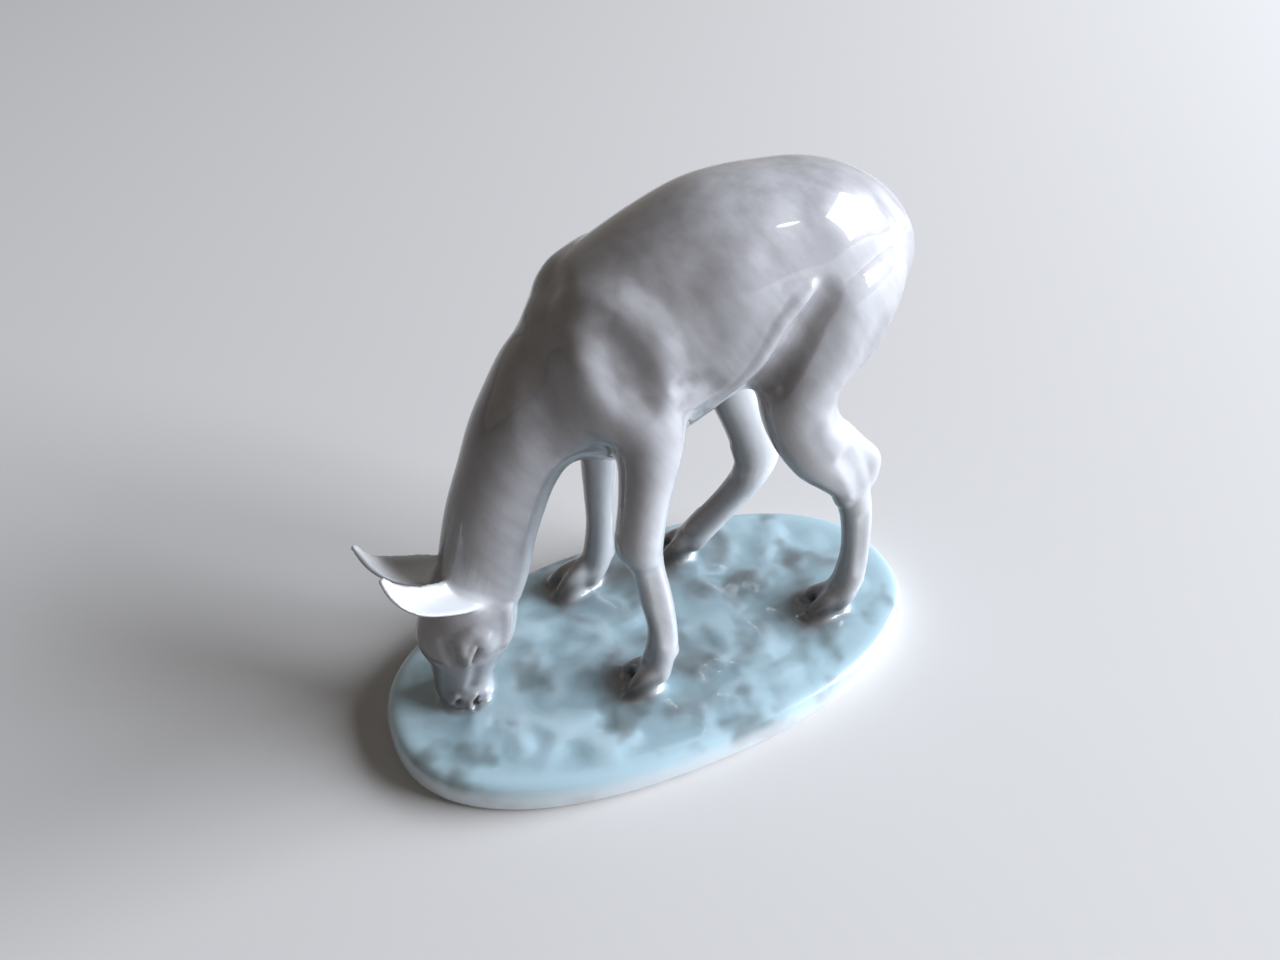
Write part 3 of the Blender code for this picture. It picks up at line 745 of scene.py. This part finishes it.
# %% Trunk: shoulder blade, flank fold, hip
BODY_STROKES = (
    # the blade's ridge, its hollow, its front edge and the neck before it
    (((-24, -5, 125), (-19.5, -8, 128), (-15.1, -10.5, 128), (-11.2, -15, 124.2), (-9.2, -17.5, 119.8),
      (-7.3, -20, 115), (-6.1, -20.7, 110.5), (-3.8, -21, 105)), (0, -1, 0.3), 7, 1.2),
    (((-19.3, -12, 120.5), (-16.7, -15.5, 115.5), (-13.5, -18.5, 107.5)), NEAR, 8, -1.1),
    (((-22, -6, 124), (-23.8, -11, 118), (-25, -14.5, 108.5), (-25, -15.5, 97.5), (-23.5, -14, 89)),
     (-0.4, -1, 0), 8.5, 0.7),
    (((-30, -6, 118), (-31.5, -10, 110), (-32.5, -12.5, 101), (-31, -12, 91)), (-0.5, -1, 0), 8, -0.9),
    # the skin that hangs from belly to stifle: its edge, its fuller front, and the valley behind
    (((31.6, -20.5, 124.7), (28.4, -20.9, 121.8), (24.7, -21.3, 117), (22, -21, 111.6),
      (19.6, -20.3, 106.9), (15.8, -19, 101.5), (13, -18.1, 97.5), (10, -16, 93)), NEAR, 3.4, 0.8),
    (((26, -20.5, 121.5), (21.5, -21, 114), (17.5, -20.5, 107), (13, -19.5, 101)), NEAR, 7.5, 0.7),
    (((35, -20.9, 122), (31, -21.2, 116), (28, -21.3, 110), (25.2, -20.7, 104),
      (22.5, -18.1, 98)), NEAR, 5.5, -1.1),
    (((34, -21.2, 114), (31, -20.7, 106), (27.5, -18.1, 98)), NEAR, 10, -0.9),
    # behind the elbow, and the last ribs
    (((-1, -21, 108), (3.5, -20.7, 105.5), (7.5, -18.7, 101.5)), NEAR, 4, -0.6),
    (((12, -20, 131), (15, -22, 121), (13, -22, 109)), NEAR, 11, 0.9),
    # the hip bone and the hollow before it
    (((40, -12, 136), (45, -15, 133)), (0, -0.7, 0.7), 9, 0.3),
    (((30, -14, 134), (33, -17, 128)), (0, -0.8, 0.6), 10, -0.3),
    # the groove beside the tail
    (((56, -8, 136), (60, -10, 130), (63, -11, 122), (65, -10, 113)), (0.7, -0.7, 0.2), 5, -0.6),
)
work(mesh, BODY_STROKES, middle=lambda z: 0.0)
print("strokes on each side of the trunk:", len(BODY_STROKES))

# %% [markdown]
# Bones and tendons in the legs
#
# A deer's leg has hardly any flesh below the knee, so bones and tendons shape it. All four legs
# get the same marks at their knee or hock and at their fetlock, the joint above the hoof.

# %% Legs: knees, tendons, fetlocks
# Each leg: the side it shows, its knee or hock, and its fetlock
JOINTS = (
    (-1, (-13, -22.9, 60), (-6.6, -23.5, 15)),
    (1, (-7.6, 17.7, 60), (-8, 20.3, 15)),
    (-1, (55.5, -21, 50), (58.6, -21.6, 14)),
    (1, (43, 14.5, 40), (29.5, 18.3, 14)),
)


def leg_strokes(side, knee, fetlock):
    """Marks that all four legs share, worked from the side that shows."""
    outward = (0, side, 0)
    (kx, ky, kz), (fx, fy, fz) = knee, fetlock
    return (
        (((kx - 4, ky, kz + 4), (kx - 4, ky, kz - 2)), FRONT, 3.6, 0.5),
        (((kx + 0.6, ky + 4 * side, kz - 8), (fx + 0.6, fy + 4 * side, fz + 7)), outward, 3.2, -0.45),
        (((fx + 4, fy + 1.8, fz - 2),), (1, 0.4, 0), 3, 0.45),
        (((fx + 4, fy - 1.8, fz - 2),), (1, -0.4, 0), 3, 0.45),
        (((fx - 3, fy, fz - 1),), FRONT, 3, 0.5),
    )


for leg in JOINTS:
    work(mesh, leg_strokes(*leg))
HIND_STROKES = (
    # the hollow between the heel's tendon and the shin, and the calf above it
    (((47, -24, 71), (51, -24, 64), (54, -24, 57)), NEAR, 4.2, -0.9),
    (((40, 12, 62), (42.5, 18, 52), (44.5, 18, 44)), (0, 1, 0), 4, -0.6),
    (((40, -24, 84), (44, -24, 76)), NEAR, 6, 0.6),
    (((53, -20, 108), (46, -22, 92), (44, -22, 84)), NEAR, 6, -0.6),
)
work(mesh, HIND_STROKES)
print("strokes on the legs:", len(JOINTS) * len(leg_strokes(*JOINTS[0])) + len(HIND_STROKES))

# %% [markdown]
# The face
#
# The eye is closed: a bulge with a thin lid, a slit below it and a tear duct. Such strokes reach
# only a millimetre or two, so they come last, when nothing rubs them out. Four of them get a name
# of their own, because a brush line follows each of them later.

# %% Head: brow, eye, cheek, nose and mouth
EYE_SLIT = (((-59, -13.4, 24.2), (-57.9, -13.5, 27.2), (-56.8, -13.5, 30)), (-0.1, -1, 0), 1.6, -1.3)
TEAR_DUCT = (((-63.3, -12.2, 25), (-61.8, -12.7, 23.6), (-60.4, -13, 23.2)), (-0.2, -1, 0), 1.4, -0.8)
NOSTRIL = (((-64.7, -9.9, 6.6), (-65.4, -9.5, 5), (-65, -9.7, 3.8)), (-0.5, -1, 0), 1.7, -1.4)
MOUTH = (((-58.2, -10.4, 4.8), (-59.3, -10.4, 3.6), (-60.2, -10.2, 2.6)), (0.1, -1, 0), 1.5, -1.0)
HEAD_STROKES = (
    # the closed eye's bulge, the brow, and the hollow before them
    (((-61, -12.8, 30.3), (-60.6, -13, 27)), (-0.3, -1, 0), 3.8, 1.3),
    (((-61, -12, 35), (-57.4, -12.8, 36.3), (-54.5, -13, 34)), (-0.2, -1, 0), 3.6, 0.7),
    (((-64.8, -10.5, 33), (-64.4, -11.4, 29), (-63.6, -12, 24.5)), (-0.6, -1, 0), 3.6, -1.2),
    # the slit, the edge of the lid, and the tear duct
    EYE_SLIT,
    (((-60.3, -13.1, 23.6), (-59.3, -13.4, 26.8), (-57.8, -13.4, 30.6)), (-0.3, -1, 0), 1.3, 0.9),
    TEAR_DUCT,
    # the cheek, the edge of the jaw, and the groove above the lip
    (((-55, -13, 30), (-53.5, -13, 27)), (0, -1, 0), 4, 0.7),
    (((-46.4, -10.2, 38), (-46.4, -10, 32), (-48, -10, 26)), (0.5, -1, 0), 3.2, 0.8),
    (((-58.7, -12.6, 19.5), (-59.5, -11.5, 15.2), (-60.4, -10.7, 10.4)), (0, -1, 0), 2.4, -0.7),
    # the nostril and its wing
    NOSTRIL,
    (((-67.2, -7.9, 4.4), (-66.4, -8.9, 6.7), (-64.4, -9.9, 8.5)), (-0.6, -1, 0), 1.6, 0.8),
    # the mouth, the upper lip and the chin
    MOUTH,
    (((-62.8, -10.1, 1.8), (-61, -10.8, 4.2), (-58.8, -10.4, 6)), (-0.1, -1, 0), 1.4, 0.6),
    (((-55.3, -9, 2), (-55, -9, 4)), (0.4, -1, 0), 2.4, 0.8),
)
work(mesh, HEAD_STROKES, middle=head_middle)
points = read_points(mesh)
print("skin after modelling, mm:", np.round(points.max(0) - points.min(0), 1))

# %% [markdown]
# The foot
#
# After drying, the figure is rubbed on a wet glass plate until it stands flat. So every point
# of the foot rim that is nearly down is put down, at height zero.

# %% Grind the foot flat
GROUND_OFF = 0.7 * CLAY_GRAIN

points[:, 2] = np.where(points[:, 2] < GROUND_OFF, 0.0, points[:, 2])
write_points(mesh, points)
print("points that touch the floor:", int((points[:, 2] == 0).sum()))

# %% [markdown]
# A lighter skin
#
# The remesh made triangles as small on the plain flank as on the eyelid. Decimate joins those
# that lie nearly flat and keeps the small ones where the form is fine.

# %% Thin the skin where it is plain
SKIN_TRIANGLES = 190000

thin = figurine.modifiers.new("thin", "DECIMATE")
thin.ratio = SKIN_TRIANGLES / (2 * len(mesh.polygons))
graph = bpy.context.evaluated_depsgraph_get()
mesh = bpy.data.meshes.new_from_object(figurine.evaluated_get(graph))
figurine.modifiers.clear()
figurine.data = mesh
mesh.shade_smooth()
print("figurine has", len(mesh.polygons), "triangles")

# %% [markdown]
# Where the paint goes
#
# The colours are sprayed and wiped on before the glaze, so they fade into each other. They could
# be painted on an image, but that needs the skin laid out flat. Here each colour is a value from
# 0 to 1 on every point, worked out from which limb the point belongs to and which way it faces.

# %% Which limb each point belongs to
EAR_SHARE = 0.55

points = read_points(mesh)
normals = read_normals(mesh)
edges = read_edges(mesh)
above = points[:, 2] - PLINTH_HEIGHT
backward, leftward, upward = normals[:, 0], -normals[:, 1], normals[:, 2]


def closeness(points, table):
    """Distance from a limb's middle line, as a share of its radius there."""
    nearest = np.full(len(points), np.inf)
    for x, y, z, depth, width in through(on_ground(table), 2):
        radius = (depth + width) / 4
        nearest = np.minimum(nearest, np.linalg.norm(points - (x, y, z), axis=1) / radius)
    return nearest


def ear_closeness(points, table):
    """The same for an ear, which is much wider than it is thick."""
    rows = through(on_ground(table), 3)
    return np.min([np.linalg.norm(points - row[:3], axis=1) / (EAR_SHARE * row[3]) for row in rows], axis=0)


shares = {name: closeness(points, table) for name, table in LIMBS.items()}
shares["near_ear"] = ear_closeness(points, NEAR_EAR)
shares["far_ear"] = ear_closeness(points, FAR_EAR)
owner = np.array(list(shares))[np.argmin(list(shares.values()), axis=0)]
legs = np.isin(owner, ["near_foreleg", "far_foreleg", "near_hind_leg", "near_hock", "far_hind_leg"])
ears = np.isin(owner, ["near_ear", "far_ear"])
print("points on the legs and on the ears:", int(legs.sum()), int(ears.sum()))

# %% [markdown]
# The grey coat, the blue ground, and a painted highlight
#
# The first spray is a cool grey. It is wiped thin where a deer is pale, inside the legs, under
# the belly and along the throat, and wiped away in the ears. A white patch on the neck at the
# near ear's root is a painted highlight. The ground is sprayed blue, and the blue fades down the
# plinth's side.

# %% Grey coat, white ears and a painted highlight, blue ground
GROUND_BAND = (0.6, 2.5)
SIDE_BLUE = 0.4
LEG_COAT = 0.72
LEG_COAT_HEIGHTS = (60, 105)
INNER_LEG_WIPED = 0.4
BELLY_WIPED = 0.75
THROAT_WIPED = 0.7
# the near ear's root, where white is laid on the neck as a painted highlight
EAR_ROOT = ((-57, -9, 50.5), (-54.5, -10.5, 47.5), (-52.5, -11.5, 44))
EAR_ROOT_REACH = 5.0
EAR_ROOT_HIGHLIGHT = 0.9
EAR_WHITE_FROM_TO = (48, 54)

is_plinth = 1 - ramp(above, *GROUND_BAND)
side_blue = SIDE_BLUE * ramp(upward, -0.5, -0.2)
meadow = is_plinth * (side_blue + (1 - SIDE_BLUE) * ramp(upward, 0.0, 0.6))
inward = np.sign(points[:, 1] - MIDLINE) * leftward
coat = np.where(legs, LEG_COAT + (1 - LEG_COAT) * ramp(above, *LEG_COAT_HEIGHTS), 1.0)
coat = coat * (1 - INNER_LEG_WIPED * ramp(inward, 0.2, 0.9) * legs)
coat = coat * (1 - BELLY_WIPED * ramp(-upward, 0.45, 0.95) * (owner == "trunk"))
coat = coat * (1 - THROAT_WIPED * ramp(backward, 0.25, 0.8) * np.isin(owner, ["neck", "head"]))
coat = coat * (1 - is_plinth)
opening = np.where(owner == "near_ear", normals @ unit(np.array(NEAR_EAR_OPENS)),
                   normals @ unit(np.array(FAR_EAR_OPENS)))
inner_ear_and_highlight = ears * ramp(opening, 0.0, 0.45) * ramp(-points[:, 0], *EAR_WHITE_FROM_TO)
# painted highlight: a white haze on the neck at the near ear's root
ear_root_highlight = touch(points, normals, EAR_ROOT, (-0.4, -1, 0), EAR_ROOT_REACH)
inner_ear_and_highlight = np.maximum(inner_ear_and_highlight, EAR_ROOT_HIGHLIGHT * ear_root_highlight)
coat = coat * (1 - inner_ear_and_highlight)
print("share of the skin under the grey coat:", round(float(coat.mean()), 2))

# %% [markdown]
# The brown coat, painted shade, and the hooves
#
# A second, browner spray comes from the front, so it settles on the back of the neck, the
# forehead and the front of the legs, and hardly on the rump. These are the sides turned away
# from the lamp, and the brown is laid on strongly there as painted shade. The hooves are
# darkest, darker still on their fronts as painted shade, and a dark haze on the ground before
# them is painted shadow, with some of their spray.

# %% Brown coat and painted shade, dark hooves and painted shadow
BROWN_AND_SHADE = 0.8
RUMP_KEPT_GREY = 0.8
RUMP_FROM_TO = (20, 50)
HOOF_HEIGHTS = (5.5, 11)
SHADOW_HAZE = 0.7
SHADOW_HAZE_REACH = (2.5, 9.0)

# painted shade: brown on the sides turned away from the lamp, kept off the lit rump
front = np.where(owner == "head", ramp(-backward, -0.4, 0.7), ramp(-backward, -0.1, 0.85))
brown_and_shade = BROWN_AND_SHADE * front * (1 - is_plinth) * (owner != "tail") * (1 - inner_ear_and_highlight)
brown_and_shade = brown_and_shade * (1 - RUMP_KEPT_GREY * ramp(points[:, 0], *RUMP_FROM_TO) * (1 - legs))
# dark hooves, darker on their fronts as painted shade
hoof_and_shadow = (1 - ramp(above, *HOOF_HEIGHTS)) * ramp(above, 0.2, 1.2) * legs * ramp(-backward, -0.5, 0.3)
# painted shadow: a dark haze on the ground before each foot's toes
for foot in FEET.values():
    tips = on_ground([foot_point(foot, side, -7, 2, 1) for side in (-1, 1)])
    shadow_haze = 1 - ramp(distance_to(points, list(tips)), *SHADOW_HAZE_REACH)
    hoof_and_shadow = np.maximum(hoof_and_shadow, SHADOW_HAZE * shadow_haze * is_plinth * ramp(upward, 0.5, 0.9))
print("points with hoof paint or its haze:", int((hoof_and_shadow > 0.1).sum()))

# %% [markdown]
# Painted shade in the hollows
#
# Melted glaze runs off the ridges and gathers in the hollows, and the colour there is darkened
# as painted shade. A smoothed copy of the skin shows where: a point that lies below the copy is
# in a hollow. The same smoothing, done on the paint values themselves, gives every colour its
# soft edge.

# %% Painted shade in the hollows, and soft edges
HOLLOW_DEPTH = 0.35
HOLLOW_ROUNDS = 40
SOFTENING = 0.6

smooth_points = relax(points, edges, SOFTENING, HOLLOW_ROUNDS)
hollow = np.einsum("ij,ij->i", smooth_points - points, normals)
# how deep each point lies in a hollow, where shade is painted
hollowness = 0.5 + hollow / (2 * HOLLOW_DEPTH)
# Each paint: its values and how many rounds of softening it gets
PAINTS = {"coat": (coat, 14), "brown_and_shade": (brown_and_shade, 14), "meadow": (meadow, 10), "hoof_and_shadow": (hoof_and_shadow, 6),
          "inner_ear_and_highlight": (inner_ear_and_highlight, 3), "hollowness": (hollowness, 4)}
for name, (values, rounds) in PAINTS.items():
    attribute = mesh.attributes.new(name, "FLOAT", "POINT")
    attribute.data.foreach_set("value", np.clip(relax(values, edges, SOFTENING, rounds), 0, 1))
print("paints on the skin:", ", ".join(PAINTS))

# %% [markdown]
# Brush lines and painted shadow
#
# A fine brush darkens the eye's slit, the tear duct, the nostril and the mouth, only down in
# their hollows, so it also paints the shade there. A thin dark line where the muzzle meets the
# ground is a painted shadow.

# %% Eyes, nostrils and mouth with painted shade, and a painted shadow under the lips
BRUSH_LINES_AND_SHADE = ((EYE_SLIT, 2.2, 1.0), (TEAR_DUCT, 1.8, 0.6), (NOSTRIL, 3.2, 1.5), (MOUTH, 2.8, 1.4))
LIP_SHADOW = ((-68.4, -5, 1), (-67, -8.6, 1), (-64, -10.4, 1), (-60.5, -10.9, 1), (-57, -9.6, 1))
LIP_SHADOW_WIDTH = (0.6, 2.2)
LIP_SHADOW_STRENGTH = 0.6

lines_and_shadow = np.zeros(len(points))
for (path, outward, _, _), width, strength in BRUSH_LINES_AND_SHADE:
    for side_path, side_outward in ((path, outward), mirrored(path, outward, head_middle)):
        lines_and_shadow = np.maximum(lines_and_shadow, strength * touch(points, normals, side_path, side_outward, width))
lines_and_shadow = np.minimum(lines_and_shadow, 1) * ramp(hollowness, 0.5, 0.8)
# painted shadow along the line where the muzzle meets the ground
lip = 1 - ramp(distance_to(points, list(on_ground(LIP_SHADOW))), *LIP_SHADOW_WIDTH)
lines_and_shadow = np.maximum(lines_and_shadow, LIP_SHADOW_STRENGTH * lip)
mesh.attributes.new("lines_and_shadow", "FLOAT", "POINT").data.foreach_set("value", lines_and_shadow)
print("points under a brush line:", int((lines_and_shadow > 0.3).sum()))

# %% [markdown]
# Glazed porcelain
#
# Porcelain is fired to glass, then painted under a clear glaze that melts into a hard, wet
# looking skin. The glaze is a smooth coat with the IOR of soda glass, about 1.5, and the paint
# below it is matt. The greys were brushed on at a slant, so they are streaked along the ribs.

# %% Colours from their written values
def linear(code):
    """A written sRGB colour, such as #8d8a90, as linear light."""
    parts = [int(code[i:i + 2], 16) / 255 for i in (1, 3, 5)]
    return tuple(p / 12.92 if p <= 0.04045 else ((p + 0.055) / 1.055) ** 2.4 for p in parts) + (1.0,)


WHITE_BODY = linear("#e4e7ea")
COAT_GREY = linear("#b7b8bc")
COAT_DARK = linear("#838184")
# the brown spray, also the colour of the painted shade
BROWN_AND_SHADE_COLOUR = linear("#4f433c")
# the hooves, also the colour of their painted shadow on the ground
HOOF_AND_SHADOW_BROWN = linear("#3f3a36")
MEADOW_PALE = linear("#aecad4")
MEADOW_MID = linear("#8fa9b2")
MEADOW_DEEP = linear("#637072")
# the brush's dark brown, also used for painted shade and painted shadow
LINE_AND_SHADOW_BROWN = linear("#2c2623")
print("the white clay as linear light:", [round(part, 2) for part in WHITE_BODY])

# %% Paint under a clear glaze
STREAK_LENGTH = 16.0
STREAK_WIDTH = 3.4
STREAK_SLANT = 58.0
CLOUD_SIZE = 26.0
WASH_SIZE = 16.0
GLAZE_WAVE = 9.0
GLAZE_WAVE_HEIGHT = 0.4
GLAZE_WAVE_STRENGTH = 0.12
MIX, NOISE, RANGE = "ShaderNodeMix", "ShaderNodeTexNoise", "ShaderNodeMapRange"

porcelain.use_nodes = True
tree = porcelain.node_tree
tree.nodes.clear()
where = add(tree, "ShaderNodeTexCoord").outputs["Object"]
value = {name: add(tree, "ShaderNodeAttribute", attribute_name=name).outputs["Fac"]
         for name in list(PAINTS) + ["lines_and_shadow"]}

# brushed streaks along the ribs, over large soft clouds
slanted = add(tree, "ShaderNodeMapping", {
    "Vector": where, "Rotation": (0, math.radians(STREAK_SLANT), 0),
    "Scale": (STREAK_LENGTH / STREAK_WIDTH, 1, 1)}, vector_type="TEXTURE")
bristles = add(tree, NOISE, {"Vector": slanted, "Scale": 1 / (STREAK_WIDTH * MM), "Detail": 2})
streaks = add(tree, RANGE, {"Value": bristles, "From Min": 0.35, "From Max": 0.68, "To Max": 0.28})
sprayed = add(tree, NOISE, {"Vector": where, "Scale": 1 / (CLOUD_SIZE * MM), "Detail": 2})
clouds = add(tree, RANGE, {"Value": sprayed, "From Min": 0.3, "From Max": 0.7, "To Max": 0.6})
# painted shade: the coat darkens towards its dark grey in the hollows
hollow_shade = add(tree, RANGE, {"Value": value["hollowness"], "From Min": 0.5, "From Max": 1.0, "To Max": 0.4})
shade = add(tree, MATH, {0: streaks, 1: clouds}, operation="ADD")
shade = add(tree, MATH, {0: shade, 1: hollow_shade}, operation="ADD", use_clamp=True)
coat_colour = add(tree, MIX, {0: shade, 6: COAT_GREY, 7: COAT_DARK}, data_type="RGBA")
animal = add(tree, MIX, {0: value["coat"], 6: WHITE_BODY, 7: coat_colour}, data_type="RGBA")
# the brown spray, laid on as painted shade where the skin turns away from the lamp
animal = add(tree, MIX, {0: value["brown_and_shade"], 6: animal, 7: BROWN_AND_SHADE_COLOUR}, data_type="RGBA")

# the ground: pale blue on the lumps, grey in its hollows as painted shade, and a few dark washes
ground_hollow_shade = add(tree, RANGE, {"Value": value["hollowness"], "From Min": 0.15, "From Max": 0.85},
          interpolation_type="SMOOTHSTEP")
wash = add(tree, MIX, {0: ground_hollow_shade, 6: MEADOW_PALE, 7: MEADOW_MID}, data_type="RGBA")
spots = add(tree, NOISE, {"Vector": where, "Scale": 1 / (WASH_SIZE * MM), "Detail": 2})
dark = add(tree, RANGE, {"Value": spots, "From Min": 0.5, "From Max": 0.72, "To Max": 0.8},
           interpolation_type="SMOOTHSTEP")
wash = add(tree, MIX, {0: dark, 6: wash, 7: MEADOW_DEEP}, data_type="RGBA")
colour = add(tree, MIX, {0: value["meadow"], 6: animal, 7: wash}, data_type="RGBA")
# hooves, with painted shade on their fronts and painted shadow on the ground before them
colour = add(tree, MIX, {0: value["hoof_and_shadow"], 6: colour, 7: HOOF_AND_SHADOW_BROWN}, data_type="RGBA")
# brush lines, with painted shade in their hollows and a painted shadow under the lips
colour = add(tree, MIX, {0: value["lines_and_shadow"], 6: colour, 7: LINE_AND_SHADOW_BROWN}, data_type="RGBA")

# molten glaze settles almost level, which leaves a slow wave in its shine
swell = add(tree, NOISE, {"Vector": where, "Scale": 1 / (GLAZE_WAVE * MM), "Detail": 1})
wave = add(tree, "ShaderNodeBump", {"Height": swell, "Strength": GLAZE_WAVE_STRENGTH,
                                   "Distance": GLAZE_WAVE_HEIGHT * MM})
shader = add(tree, "ShaderNodeBsdfPrincipled", {
    "Base Color": colour, "Roughness": 0.35, "IOR": 1.5, "Coat Weight": 1.0, "Coat Roughness": 0.03,
    "Coat IOR": 1.5, "Normal": wave, "Coat Normal": wave})
add(tree, "ShaderNodeOutputMaterial", {"Surface": shader})
if not mesh.materials:
    mesh.materials.append(porcelain)
print(porcelain.name, "has", len(tree.nodes), "nodes")

# %% [markdown]
# Ties to the frame
#
# The finished piece stands for the solid one, moves with its only body, and takes its finish
# from the record's porcelain.

# %% Join the figurine to the frame
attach(figurine, "root")
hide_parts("figurine")
print("the finish shows in place of the solid figurine")

# %% [markdown]
# The studio
#
# A pale floor, one large soft lamp where the photograph's daylight comes from, low and to the
# right, and an even sky. A glossy thing shows its lamps, so the lamp's shape makes the
# highlight. The sky lights the figure dimly, so that its shaded side has form, but it is seen
# paler than that, both by the camera and in the glaze.

# %% Floor, sky and lamp
FLOOR_SIZE = 8.0
FLOOR_COLOUR = linear("#d3d1ce")
FLOOR_ROUGHNESS = 0.8
WINDOW_PLACE = (2.58, -1.04, 1.22)
WINDOW_SIZE = (2.4, 1.9)
WINDOW_POWER = 262.0
WINDOW_COLOUR = linear("#eef4ff")
LAMP_AIM = (0.0, 0.0, 0.07)
SKY_COLOUR = linear("#f0e8e0")
SKY_STRENGTH = 0.12
SEEN_SKY = 0.5

floor_mesh = bpy.data.meshes.new("floor")
half = FLOOR_SIZE / 2
floor_mesh.from_pydata([(-half, -half, 0), (half, -half, 0), (half, half, 0), (-half, half, 0)],
                       [], [(0, 1, 2, 3)])
floor = bpy.data.objects.new("floor", floor_mesh)
scene.collection.objects.link(floor)
paper = bpy.data.materials.new("floor_paper")
paper.use_nodes = True
paper_shader = paper.node_tree.nodes["Principled BSDF"].inputs
paper_shader["Base Color"].default_value = FLOOR_COLOUR
paper_shader["Roughness"].default_value = FLOOR_ROUGHNESS
floor_mesh.materials.append(paper)

world = bpy.data.worlds.new("sky")
world.use_nodes = True
sky = world.node_tree
rays = add(sky, "ShaderNodeLightPath").outputs
seen = add(sky, MATH, {0: rays["Is Camera Ray"], 1: rays["Is Glossy Ray"]}, operation="MAXIMUM")
strength = add(sky, RANGE, {"Value": seen, "To Min": SKY_STRENGTH, "To Max": SEEN_SKY})
sky.nodes["Background"].inputs["Color"].default_value = SKY_COLOUR
sky.links.new(strength.outputs[0], sky.nodes["Background"].inputs["Strength"])
scene.world = world

light = bpy.data.lights.new("window", "AREA")
light.shape = "RECTANGLE"
light.size, light.size_y = WINDOW_SIZE
light.energy = WINDOW_POWER
light.color = WINDOW_COLOUR[:3]
window = bpy.data.objects.new("window", light)
window.location = WINDOW_PLACE
aim = Vector(LAMP_AIM) - window.location
window.rotation_euler = aim.to_track_quat("-Z", "Y").to_euler()
scene.collection.objects.link(window)
scene.view_settings.view_transform = "Standard"
print("the lamp is", round(aim.length, 1), "m away and", WINDOW_SIZE[0], "m wide")
